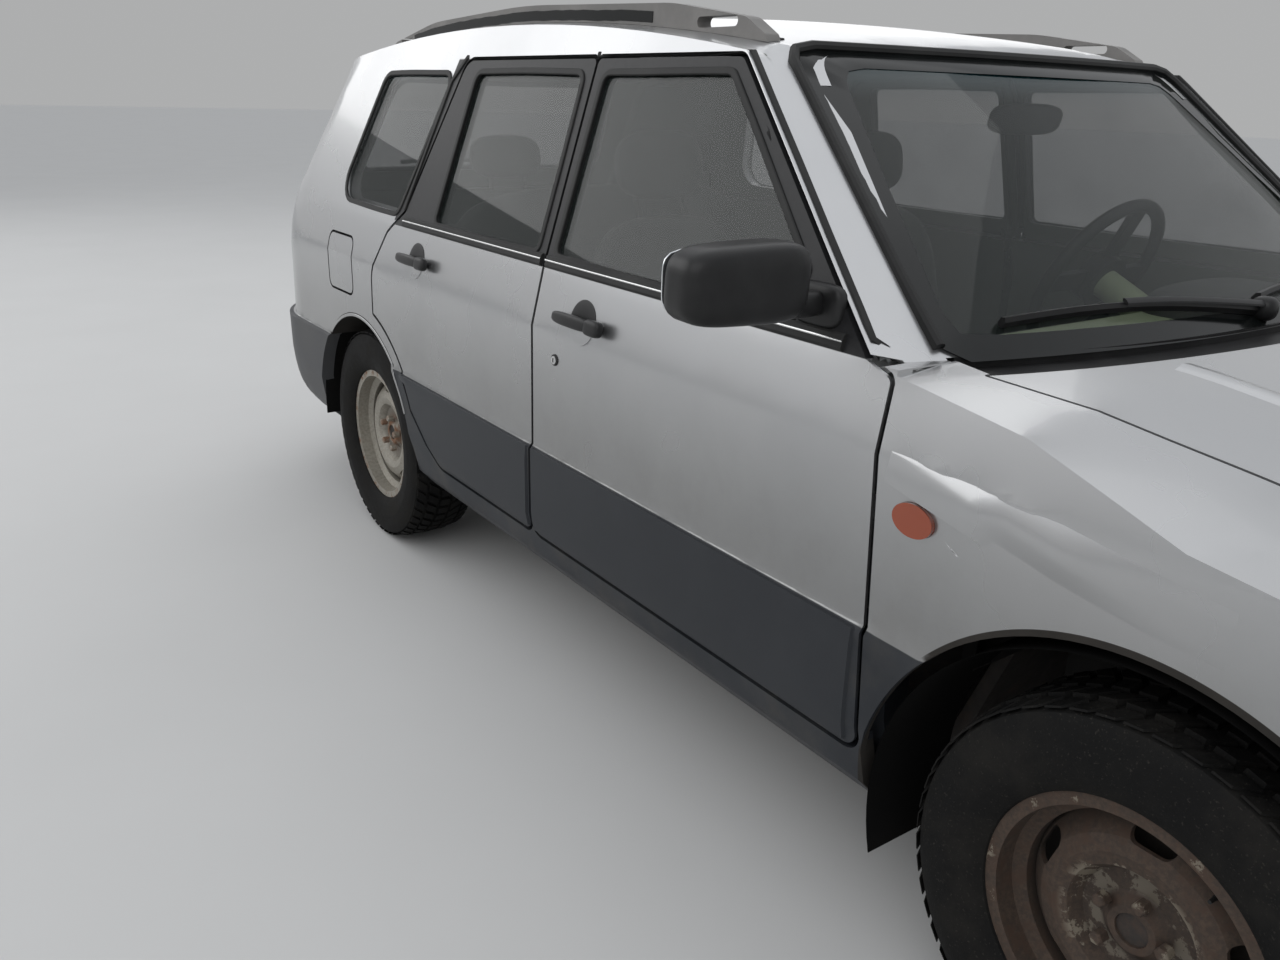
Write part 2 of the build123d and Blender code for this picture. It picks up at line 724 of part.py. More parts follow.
def cabin_ring(outer, inner):
    """Band along the foot of the cabin's surface."""
    low = cabin_outline(BELT_Z, outer) - cabin_outline(BELT_Z, inner)
    return extrude(Pos(0, 0, SCUTTLE_LOW_Z - BELT_Z) * low, amount=1003.0 - FIT - SCUTTLE_LOW_Z)


def front_structure():
    """Firewall, inner wings, shelves, rails, radiator frame and bumper beam."""
    top = nose(SHELL + FIT)
    body = block(-700, 700, FIREWALL_Y, FIREWALL_Y + FIREWALL_THICKNESS, 528.0, SCUTTLE_LOW_Z)
    half = block(-INNER_WING_X, -INNER_WING_X + 12.0, -2000.0, FIREWALL_Y, RAIL_LOW_Z, SHELF_Z)
    half += block(-712.0, -INNER_WING_X + 12.0, -1960.0, FIREWALL_Y, SHELF_Z, SHELF_Z + SHELF_THICKNESS)
    half += block(-712.0, -692.0, -1930.0, FIREWALL_Y, SHELF_Z, FAR) & top
    half -= block(-FAR, FAR, -FAR, -1380.0, SHELF_Z - 40.0, FAR) - top
    half += block(-INNER_WING_X, -INNER_WING_X + 60.0, -2130.0, FIREWALL_Y, RAIL_LOW_Z, RAIL_HIGH_Z)
    for y in (-1450.0, -1050.0):
        half += rod((-600.0, y, SHELF_Z + 2.0), (-600.0, y, 1200.0), 14.0) & top
    half += block(-INNER_WING_X, 0, -2130.0, -2100.0, RAIL_LOW_Z, RAIL_HIGH_Z)
    beam = block(-560.0, 0, -2300.0, -2130.0, RAIL_LOW_Z + 20.0, RAIL_HIGH_Z + 30.0)
    half += beam & nose(BUMPER_WALL + FIT)
    half += block(-INNER_WING_X, 0, -2065.0, -2040.0, RAIL_LOW_Z, 840.0) - block(
        -INNER_WING_X + 60.0, 1.0, -FAR, FAR, RAIL_LOW_Z + 50.0, 780.0
    )
    half += block(-330.0, 0, -2060.0, -2045.0, RAIL_LOW_Z + 30.0, 800.0)
    body = body + half + mirror_x(half)
    return body


def floor_pan():
    """Floor with its tunnel, rear step, load floor and rear panel."""
    pan = side_prism(outline(FLOOR_SIDE), -ROOF_SPLIT_X, ROOF_SPLIT_X)
    pan -= block(-TUNNEL_HALF, TUNNEL_HALF, FIREWALL_Y - 1.0, TUNNEL_REAR_Y, 0, TUNNEL_TOP_Z)
    half = TUNNEL_HALF + TUNNEL_WALL
    outside = block(-half, half, FIREWALL_Y, TUNNEL_REAR_Y, FLOOR_LOW_Z, TUNNEL_TOP_Z)
    inside = block(-TUNNEL_HALF, TUNNEL_HALF, -FAR, FAR, 0, TUNNEL_TOP_Z - TUNNEL_WALL)
    pan += outside - inside
    circle = wheel_circle(REAR_AXLE_Y, REAR_ARCH_RADIUS + WHEELHOUSE_WALL + FIT)
    wheel = side_prism(circle, -FAR, -WHEELHOUSE_X + FIT)
    pan -= wheel
    pan -= mirror_x(wheel)
    rear = (OUTER - body_form(TAILGATE_WALL, DOOR_HIGH)) & block(
        -ROOF_SPLIT_X, ROOF_SPLIT_X, 1950.0, FAR, BUMPER_TOP_Z + FIT, REAR_SILL_Z
    )
    shelf = block(-ROOF_SPLIT_X, ROOF_SPLIT_X, 2080.0, 2120.0, BUMPER_TOP_Z + FIT, REAR_SILL_Z)
    wall = block(-ROOF_SPLIT_X, ROOF_SPLIT_X, 2080.0, 2100.0, 545.0, REAR_SILL_Z)
    pan += rear + shelf + wall
    beam = block(-560.0, 560.0, 2110.0, FAR, 460.0, 540.0) & body_form(BUMPER_WALL + FIT, DOOR_HIGH)
    rails = block(-440.0, -380.0, 1600.0, 2115.0, 470.0, 546.0)
    pan += beam + rails + mirror_x(rails)
    return pan


def rear_bumper():
    """Rear bumper, wrapped round to the rear wheel arches."""
    body = (OUTER - body_form(BUMPER_WALL, DOOR_HIGH)) & block(-FAR, FAR, REAR_AXLE_Y, FAR, 0, BUMPER_TOP_Z)
    body -= side_prism(wheel_circle(REAR_AXLE_Y, REAR_ARCH_RADIUS), -FAR, FAR)
    return body - block(-700.0, 700.0, 0, 2105.0, 0, 400.0)


def tail_lamp():
    """Right tail lamp in its recess at the corner."""
    return (OUTER & lamp_prism(0.0)) - body_form(TAIL_LAMP_DEPTH, TAIL_LAMP_DEPTH)


def wheel_profile(points):
    """Solid turned about the X axis from rows of offset and radius."""
    face = Plane.XZ * make_face(Polyline(*points, close=True))
    return revolve(face, axis=Axis.X)


def tyre():
    """Tyre about the X axis, with its beads and hollow inside."""
    bead = RIM_SEAT_RADIUS + FIT
    half = TYRE_WIDTH / 2
    outer = [(71.0, bead), (71.5, 208.0), (86.0, 214.0), (half, 254.0), (half - 4.0, 298.0), (88.0, 323.0)]
    inner = [(60.0, bead), (60.0, 208.0), (88.0, 250.0), (86.0, 296.0), (76.0, 312.0)]
    points = outer + [(30.0, TYRE_RADIUS)] + [(-30.0, TYRE_RADIUS)]
    points += [(-x, r) for x, r in reversed(outer)]
    points += [(-x, r) for x, r in inner] + [(x, r) for x, r in reversed(inner)]
    return wheel_profile(points)


def road_wheel():
    """Pressed steel wheel about the X axis with its hub and brake disc; +X is outboard."""
    seat = RIM_SEAT_RADIUS
    barrel = [
        (80.0, 207.0), (73.0, 207.0), (72.0, seat), (44.0, seat - 2.0), (34.0, seat - 20.0),
        (-10.0, seat - 20.0), (-22.0, seat - 2.0), (-72.0, seat), (-73.0, 207.0), (-80.0, 207.0),
        (-80.0, seat - 5.0), (-24.0, seat - 7.0), (-12.0, seat - 25.0), (36.0, seat - 25.0),
        (46.0, seat - 7.0), (80.0, seat - 5.0),
    ]
    nave = [
        (8.0, seat - 22.0), (20.0, 160.0), (44.0, 134.0), (52.0, 112.0), (46.0, 92.0), (26.0, 80.0),
        (24.0, 34.0), (17.0, 34.0), (19.0, 84.0), (40.0, 97.0), (45.0, 112.0), (38.0, 131.0),
        (14.0, 156.0), (2.0, seat - 22.0),
    ]
    wheel = wheel_profile(barrel)
    disc = wheel_profile(nave)
    window = Plane.YZ * (Pos(0, 143.0) * SlotOverall(62.0, 26.0))
    for index in range(WINDOW_COUNT):
        cut = extrude(window, amount=90.0)
        disc -= cut.rotate(Axis.X, index * 360.0 / WINDOW_COUNT)
    boss = [
        (-40.0, HUB_BORE), (-40.0, 45.0), (-32.0, 70.0), (17.0, 70.0), (17.0, 60.0), (40.0, 34.0),
        (40.0, HUB_BORE),
    ]
    hub = wheel_profile(boss)
    brake = wheel_profile([(-32.0, 50.0), (-32.0, 132.0), (-18.0, 132.0), (-18.0, 50.0)])
    return wheel + disc + hub + brake


def at_wheel(shape, side, y):
    """A wheel's shape at its place; side is -1 on the right and +1 on the left."""
    turned = shape if side > 0 else mirror_x(shape)
    return Pos(side * HALF_TRACK, y, TYRE_RADIUS) * turned


def kingpin(z):
    """Point of the right kingpin's axis at a height."""
    low_x, low_z = FRONT_KINGPIN_LOW
    high_x, high_z = FRONT_KINGPIN_HIGH
    return (low_x + (high_x - low_x) * (z - low_z) / (high_z - low_z), FRONT_AXLE_Y, z)


def front_knuckle():
    """Right front upright with its spindle, strut, spring and top mount."""
    x = -HALF_TRACK
    y = FRONT_AXLE_Y
    body = block(x + 42.0, x + 84.0, y - 42.0, y + 42.0, BALL_JOINT_Z + 14.0, 440.0)
    body += rod(kingpin(BALL_JOINT_Z + FIT), kingpin(BALL_JOINT_Z + 30.0), 10.0)
    body += cross_tube(y, TYRE_RADIUS, SPINDLE_RADIUS, x - 36.0, x + 44.0)
    body += block(x + 80.0, x + 150.0, y - 24.0, y + 24.0, 395.0, 440.0)
    high_x, high_z = FRONT_KINGPIN_HIGH
    body += rod((-600.0, y, 400.0), (high_x, y, high_z - 12.0), 22.0)
    direction = Vector(-600.0 - high_x, 0, 400.0 - high_z)
    for index in range(SPRING_COILS):
        z = 700.0 + index * 24.0
        cx = high_x + direction.X * (z - high_z) / direction.Z
        ring = Torus(52.0, 7.0)
        body += Pos(cx, y, z) * ring
        body += Pos(cx, y, z) * Cylinder(46.0, 5.0)
    body += Pos(high_x, y, high_z - 24.0) * Cylinder(50.0, 20.0)
    body += rod(kingpin(high_z - 46.0), kingpin(high_z - TOP_BEARING_DROP), 10.0)
    return body


def front_suspension():
    """Cross member and lower arms with their ball joints."""
    y = FRONT_AXLE_Y
    body = block(-410.0, 410.0, y - 60.0, y + 60.0, 200.0, 260.0)
    half = block(-436.0, -384.0, y - 60.0, y - 22.0, 255.0, RAIL_LOW_Z)
    half += rod((-395.0, y, 225.0), (-690.0, y, 168.0), 12.0)
    half += rod((-395.0, y + 230.0, 240.0), (-560.0, y + 4.0, 193.0), 11.0)
    half += block(-430.0, -384.0, y + 205.0, y + 255.0, 222.0, RAIL_LOW_Z)
    half += rod(kingpin(BALL_JOINT_Z - 28.0), kingpin(BALL_JOINT_Z), 12.0)
    return body + half + mirror_x(half)


def rear_suspension():
    """Rear hub carriers, struts, arms and the cross tube."""
    y = REAR_AXLE_Y
    x = -HALF_TRACK
    half = block(x + 42.0, x + 84.0, y - 40.0, y + 40.0, 240.0, 420.0)
    half += cross_tube(y, TYRE_RADIUS, SPINDLE_RADIUS, x - 36.0, x + 44.0)
    half += block(x + 80.0, x + 190.0, y - 30.0, y + 30.0, 380.0, 420.0)
    top = TYRE_RADIUS - ARCH_RISE + REAR_ARCH_RADIUS - FIT
    half += rod((-560.0, y, 400.0), (-560.0, y, top - 2.0), 22.0) & block(-FAR, FAR, 0, FAR, 0, top - 1.0)
    for index in range(SPRING_COILS):
        z = 500.0 + index * 24.0
        half += Pos(-560.0, y, z) * Torus(48.0, 7.0)
        half += Pos(-560.0, y, z) * Cylinder(42.0, 5.0)
    half += rod((-560.0, y, 398.0), (-560.0, y, 640.0), 30.0)
    half += rod((x + 70.0, y, 270.0), (-330.0, y - 90.0, 285.0), 15.0)
    half += rod((x + 70.0, y, 270.0), (-330.0, y + 90.0, 285.0), 15.0)
    half += rod((x + 70.0, y - 20.0, 270.0), (-560.0, 720.0, 262.0), 14.0)
    half += block(-590.0, -540.0, 690.0, 740.0, 245.0, FLOOR_LOW_Z)
    half += block(-345.0, 0, y - 120.0, y - 60.0, 250.0, 312.0)
    half += block(-345.0, 0, y + 60.0, y + 120.0, 250.0, 312.0)
    half += block(-345.0, -285.0, y - 120.0, y + 120.0, 250.0, 312.0)
    half += block(-345.0, -285.0, y - 120.0, y - 60.0, 300.0, 545.0)
    half += block(-345.0, -285.0, y + 60.0, y + 120.0, 300.0, 545.0)
    return half + mirror_x(half)


def powertrain():
    """Plain engine block, gearbox, propeller shaft, final drive and half shafts."""
    body = block(-372.0, 372.0, -1990.0, -1580.0, 340.0, 700.0)
    body += block(-150.0, 150.0, -1590.0, -1080.0, 300.0, 560.0)
    body += block(-95.0, 95.0, -1085.0, -560.0, 300.0, 420.0)
    body += rod((0, -565.0, 350.0), (0, REAR_AXLE_Y - 50.0, 350.0), 34.0)
    body += block(-100.0, 100.0, REAR_AXLE_Y - 59.7, REAR_AXLE_Y + 59.7, 255.0, 430.0)
    body += cross_tube(REAR_AXLE_Y, TYRE_RADIUS, 16.0, -HALF_TRACK + 86.0, HALF_TRACK - 86.0)
    body += cross_tube(FRONT_AXLE_Y, TYRE_RADIUS, 15.0, -500.0, 500.0)
    body += block(-60.0, 60.0, FRONT_AXLE_Y - 60.0, FRONT_AXLE_Y + 60.0, 260.0, 305.0)
    return body


def exhaust():
    """Exhaust pipe, silencers and tailpipe."""
    points = [
        (-174.3, -1150.0, 330.0),
        (-220.0, -900.0, 256.0),
        (-220.0, 820.0, 252.0),
        (-215.0, 1000.0, 222.0),
        (-215.0, 1380.0, 222.0),
        (-260.0, 1700.0, 330.0),
    ]
    body = rod(points[0], points[1], 24.0)
    for start, end in zip(points[1:], points[2:]):
        body += rod(start, end, 24.0)
        body += Pos(*start) * Sphere(24.0)
    body += Pos(-220.0, 120.0, 253.0) * (Rotation(90, 0, 0) * Cylinder(33.0, 420.0))
    box = block(-400.0, -130.0, 1680.0, 1960.0, 300.0, 430.0)
    body += fillet(box.edges().filter_by(Axis.X), 40.0)
    body += rod((-330.0, 1940.0, 320.0), (-330.0, 2050.0, 258.0), 22.0)
    body += Pos(-330.0, 2050.0, 258.0) * Sphere(22.0)
    body += rod((-330.0, 2050.0, 258.0), (-330.0, 2185.0, 258.0), 22.0)
    body += block(-280.0, -260.0, 1790.0, 1810.0, 425.0, 545.0 - FIT)
    body += block(-230.0, -210.0, -10.0, 10.0, 270.0, FLOOR_LOW_Z - FIT)
    return body


def fuel_tank():
    """Fuel tank under the rear seat."""
    rows = [(775.0, 300.0, 25.0), (930.0, 300.0, 25.0), (930.0, 467.0, 10.0), (775.0, 405.0, 10.0)]
    return side_prism(outline(rows), -450.0, -140.0)


def cabin_trim():
    """Dashboard, steering column, console and interior mirror."""
    rows = [
        (-960.0, 640.0, 0.0), (-800.0, 560.0, 30.0), (-700.0, 600.0, 40.0), (-640.0, 760.0, 60.0),
        (-600.0, 860.0, 50.0), (-640.0, 958.0, 50.0), (-800.0, 960.0, 60.0), (-960.0, 950.0, 0.0),
    ]
    body = side_prism(outline(rows), -690.0, 690.0)
    y, z = STEERING_CENTRE
    tilt = math.radians(STEERING_TILT)
    reach = 30.0 + FIT
    tip = (STEERING_X, y - reach * math.cos(tilt), z - reach * math.sin(tilt))
    foot = (STEERING_X, y - 260.0 * math.cos(tilt), z - 260.0 * math.sin(tilt))
    body += rod(foot, tip, 34.0)
    console = [
        (-760.0, TUNNEL_TOP_Z, 0.0),
        (330.0, TUNNEL_TOP_Z, 0.0),
        (330.0, 560.0, 40.0),
        (-100.0, 560.0, 40.0),
        (-150.0, 500.0, 40.0),
        (-480.0, 500.0, 60.0),
        (-620.0, 680.0, 60.0),
        (-760.0, 700.0, 0.0),
    ]
    body += side_prism(outline(console), -100.0, 100.0)
    return body


def steering_wheel():
    """Steering wheel about its own axis: rim, spokes and boss."""
    rim = Torus(STEERING_RADIUS, 15.0)
    boss = Pos(0, 0, -8.0) * Cylinder(62.0, 44.0)
    body = rim + boss
    for angle in (0.0, 180.0, 270.0):
        spoke = Pos(STEERING_RADIUS / 2 + 20.0, 0, -4.0) * Box(STEERING_RADIUS - 40.0, 44.0, 14.0)
        body += spoke.rotate(Axis.Z, angle)
    y, z = STEERING_CENTRE
    tilt = math.radians(STEERING_TILT)
    plane = Plane(origin=(STEERING_X, y, z), x_dir=(1, 0, 0), z_dir=(0, math.cos(tilt), math.sin(tilt)))
    return plane * body


def seat(width, rows):
    """Upholstered form from rows of side outlines, each with its own width share."""
    body = None
    for share, face in rows:
        piece = side_prism(outline(face), -width * share / 2, width * share / 2)
        body = piece if body is None else body + piece
    return body


def front_seat():
    """One front seat on its runners, about the car's middle."""
    cushion = [(-330.0, 450.0, 30.0), (190.0, 420.0, 30.0), (190.0, 545.0, 30.0), (-320.0, 585.0, 40.0)]
    back = [(120.0, 470.0, 30.0), (225.0, 450.0, 30.0), (395.0, 1075.0, 40.0), (285.0, 1085.0, 40.0)]
    head = [(298.0, 1110.0, 30.0), (385.0, 1105.0, 30.0), (405.0, 1270.0, 40.0), (325.0, 1280.0, 40.0)]
    body = seat(452.0, [(1.0, cushion), (0.98, back), (0.56, head)])
    for x in (-70.0, 70.0):
        body += rod((x, 330.0, 1060.0), (x, 345.0, 1130.0), 7.0)
    for x in (-180.0, 180.0):
        body += block(x - 20.0, x + 20.0, -280.0, 200.0, FLOOR_LOW_Z + FLOOR_THICKNESS + FIT, 470.0)
    return body


def rear_seat():
    """Rear bench with its back and head rests."""
    cushion = [(560.0, 440.0, 30.0), (1000.0, 440.0, 0.0), (1060.0, 590.0, 30.0), (560.0, 610.0, 40.0)]
    back = [(960.0, 560.0, 20.0), (1080.0, 575.0, 20.0), (1210.0, 1075.0, 40.0), (1100.0, 1085.0, 40.0)]
    body = seat(1180.0, [(1.0, cushion), (1.0, back)])
    for x in (-SEAT_X, SEAT_X):
        head = [(1108.0, 1100.0, 30.0), (1190.0, 1095.0, 30.0)]
        head += [(1205.0, 1225.0, 30.0), (1130.0, 1235.0, 30.0)]
        body += side_prism(outline(head), x - 120.0, x + 120.0)
        for shift in (-60.0, 60.0):
            body += rod((x + shift, 1140.0, 1060.0), (x + shift, 1150.0, 1120.0), 7.0)
    circle = wheel_circle(REAR_AXLE_Y, REAR_ARCH_RADIUS + WHEELHOUSE_WALL + 4.0)
    wheel = side_prism(circle, -FAR, -WHEELHOUSE_X + 4.0)
    body -= wheel
    body -= mirror_x(wheel)
    floor = offset(outline(FLOOR_SIDE), amount=FIT)
    body -= side_prism(floor, -FAR, FAR)
    corners = [(400.0, 0), (2000.0, 0), (2000.0, 545.0), (1000.0, 545.0), (760.0, 400.0), (700.0, 300.0)]
    under = Polygon(*corners, align=None)
    return body - side_prism(under, -FAR, FAR)


def door_mirror():
    """Right door mirror on the corner panel ahead of the front window."""
    housing = block(-1098.0, -872.0, -752.0, -652.0, 1046.0, 1170.0)
    housing = fillet(housing.edges().filter_by(Axis.X), 34.0)
    neck = block(-900.0, -780.0, -716.0, -676.0, 1042.0, 1084.0)
    return housing + (neck - cabin(-FIT, -FIT))


def door_handle(y, z):
    """Pull handle of a right door."""
    slot = Pos(y, z) * SlotOverall(196.0, 26.0)
    bar = (body_form(-14.0, 0.0) - body_form(-4.0, 0.0)) & side_prism(slot)
    feet = Pos(y - 80.0, z) * Circle(11.0) + Pos(y + 80.0, z) * Circle(11.0)
    return bar + ((body_form(-6.0, 0.0) - body_form(-FIT, 0.0)) & side_prism(feet))


def fuel_flap():
    """Fuel flap with its hinge arm, the recess that holds it and the post of its hinge."""
    face = outline(FUEL_FLAP)
    flap = (OUTER & side_prism(face)) - body_form(FLAP_WALL, 0.0)
    recess = (OUTER & side_prism(offset(face, amount=FLAP_GAP))) - body_form(FLAP_RECESS, 0.0)
    x = -(HALF_WIDTH - 10.0 - FLAP_HINGE_DEPTH)
    y = FUEL_FLAP[0][0] + FLAP_HINGE_BACK
    z = (FUEL_FLAP[0][1] + FUEL_FLAP[1][1]) / 2
    flap += rod((x, y, z + FIT), (x, y, z + 30.0), FLAP_PIN)
    flap += block(x - 6.5, x, y - 2.0, y + 8.0, z + 3.0, z + 27.0)
    post = rod((x, y, z - 30.0), (x, y, z), FLAP_PIN)
    post += block(x, x + FLAP_RECESS, y - 1.0, y + 5.0, z - 27.0, z - 3.0)
    return flap, recess, post


def tailgate_hinges():
    """Halves of the tailgate's two hinges on the roof's edge: fixed ones and moving ones."""
    y, z = TAILGATE_HINGE
    fixed = []
    moving = []
    for x in (-TAILGATE_HINGE_X, TAILGATE_HINGE_X):
        fixed.append(cross_tube(y, z, PIN_RADIUS, x - KNUCKLE, x))
        fixed.append(block(x - KNUCKLE + 3.0, x - 3.0, y - 50.0, y, z - 5.0, z + 3.0))
        moving.append(cross_tube(y, z, PIN_RADIUS, x + FIT, x + KNUCKLE))
        moving.append(block(x + 3.0, x + KNUCKLE - 3.0, y, y + 40.0, z - 26.0, z + 3.0))
    return fixed, moving


def pair(shape):
    """The solids of a shape and of its mirror image, side by side."""
    return Compound(list(shape.solids()) + list(mirror_x(shape).solids()))


def joined(shape, pieces):
    """Shape fused with a list of pieces."""
    for piece in pieces:
        shape = shape + piece
    return shape


def build():
    """All pieces of the car by name."""
    frame, doors = right_side()
    flap, recess, post = fuel_flap()
    gate, gate_glass = tailgate_parts()
    roof_hinges, gate_hinges = tailgate_hinges()
    bonnet, wing, bumper, lamp, lens, grille = nose_parts()
    right_frame = frame - recess + post
    parts = {
        "side_frame_right": right_frame,
        "side_frame_left": mirror_x(frame),
        "roof_panel": joined(roof(), roof_hinges),
        "bonnet": bonnet,
        "front_wings": pair(wing),
        "front_bumper": bumper - block(-640, 640, -2060.0, FAR, 0, 400.0),
        "front_lamps": Compound(pair(lamp).solids() + pair(lens).solids()),
        "grille": grille,
        "scuttle": scuttle(),
        "front_structure": front_structure(),
        "floor_pan": floor_pan(),
        "rear_bumper": rear_bumper(),
        "tail_lamps": pair(tail_lamp()),
        "tailgate": joined(gate, gate_hinges),
        "tailgate_glass": gate_glass,
        "fuel_flap": flap,
        "roof_rails": pair(roof_rail()),
        "powertrain": powertrain(),
        "exhaust": exhaust(),
        "fuel_tank": fuel_tank(),
        "front_suspension": front_suspension(),
        "rear_suspension": rear_suspension(),
        "cabin_trim": cabin_trim(),
        "steering_wheel": steering_wheel(),
        "rear_seat": rear_seat(),
    }
    quarter = side_pane(QUARTER_WINDOW)
    screen = pane(screen_prism(-FIT))
    parts["fixed_glass"] = Compound(screen.solids() + pair(quarter).solids())
    seat_form = front_seat()
    parts["front_seats"] = pair(Pos(-SEAT_X, 0, 0) * seat_form)
    mirror_form = door_mirror()
    for place, door, window, handle in zip(
        ("front", "rear"), doors, (FRONT_WINDOW, REAR_WINDOW), (FRONT_HANDLE, REAR_HANDLE)
    ):
        fittings = door_handle(*handle)
        if place == "front":
            fittings = fittings + mirror_form
        glass = side_pane(window)
        for side, change in (("right", lambda shape: shape), ("left", mirror_x)):
            parts[f"{place}_door_{side}"] = change(door)
            parts[f"{place}_door_glass_{side}"] = change(glass)
            parts[f"{place}_door_fittings_{side}"] = change(fittings)
    knuckle = front_knuckle()
    parts["knuckle_right"] = knuckle
    parts["knuckle_left"] = mirror_x(knuckle)
    tyre_form = tyre()
    wheel_form = road_wheel()
    for place, y in (("front", FRONT_AXLE_Y), ("rear", REAR_AXLE_Y)):
        for side, sign in (("right", -1), ("left", 1)):
            parts[f"{place}_tyre_{side}"] = at_wheel(tyre_form, sign, y)
            parts[f"{place}_wheel_{side}"] = at_wheel(wheel_form, sign, y)
    return parts


def write(parts):
    """Write each piece to its own file."""
    os.makedirs("parts", exist_ok=True)
    for name, shape in parts.items():
        solids = shape.solids()
        export_step(solids[0] if len(solids) == 1 else Compound(solids), f"parts/{name}.step")


write(build())
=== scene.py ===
import json
import math
import numpy

import bmesh
import bpy
from mathutils import Matrix, Vector
from mathutils.bvhtree import BVHTree

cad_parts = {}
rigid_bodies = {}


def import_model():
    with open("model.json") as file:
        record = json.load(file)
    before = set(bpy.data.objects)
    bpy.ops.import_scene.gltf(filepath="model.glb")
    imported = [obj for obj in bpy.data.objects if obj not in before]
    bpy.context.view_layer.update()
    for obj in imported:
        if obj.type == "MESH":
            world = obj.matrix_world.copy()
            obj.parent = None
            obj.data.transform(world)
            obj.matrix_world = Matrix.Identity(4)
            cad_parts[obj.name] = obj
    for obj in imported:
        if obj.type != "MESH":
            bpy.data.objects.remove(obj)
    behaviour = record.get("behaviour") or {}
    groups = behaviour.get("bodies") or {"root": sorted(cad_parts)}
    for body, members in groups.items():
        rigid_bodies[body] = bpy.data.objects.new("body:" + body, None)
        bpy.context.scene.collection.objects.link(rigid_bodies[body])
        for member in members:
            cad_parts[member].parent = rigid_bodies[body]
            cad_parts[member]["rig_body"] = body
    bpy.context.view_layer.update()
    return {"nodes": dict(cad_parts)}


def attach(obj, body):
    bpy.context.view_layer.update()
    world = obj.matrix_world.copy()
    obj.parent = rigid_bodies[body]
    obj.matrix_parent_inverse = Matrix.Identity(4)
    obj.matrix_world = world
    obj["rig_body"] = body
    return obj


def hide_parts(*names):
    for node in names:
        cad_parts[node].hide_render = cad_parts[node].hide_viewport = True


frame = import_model()
nodes = frame["nodes"]

# Sizes shared with the solids, in metres
AXLES = {"front": -1.335, "rear": 1.190}
AXLE_Z = 0.330
TRACK = 0.733
BELT_Z = 1.000
BAND_Z = 0.606
SIDES = (("right", -1), ("left", 1))
FRONT_WINDOW = [
    (-.640, 1.032, .012), (-.640, 1.108, .010), (-.321, 1.394, .030), (.086, 1.394, .025),
    (.092, 1.032, .020),
]
REAR_WINDOW = [(.172, 1.032, .020), (.172, 1.394, .025), (.664, 1.394, .030), (.700, 1.032, .020)]
QUARTER_WINDOW = [(.945, 1.034, .040), (.800, 1.392, .030), (1.236, 1.388, .050), (1.392, 1.040, .060)]
SCREEN = [(.715, 1.003, .020), (.548, 1.436, .060), (-.548, 1.436, .060), (-.715, 1.003, .020)]
SCREEN_EDGE = [(.724, .998, .020), (.606, 1.447, .050), (-.606, 1.447, .050), (-.724, .998, .020)]
REAR_GLASS = [(.520, 1.060, .040), (.440, 1.385, .060), (-.440, 1.385, .060), (-.520, 1.060, .040)]


# Materials

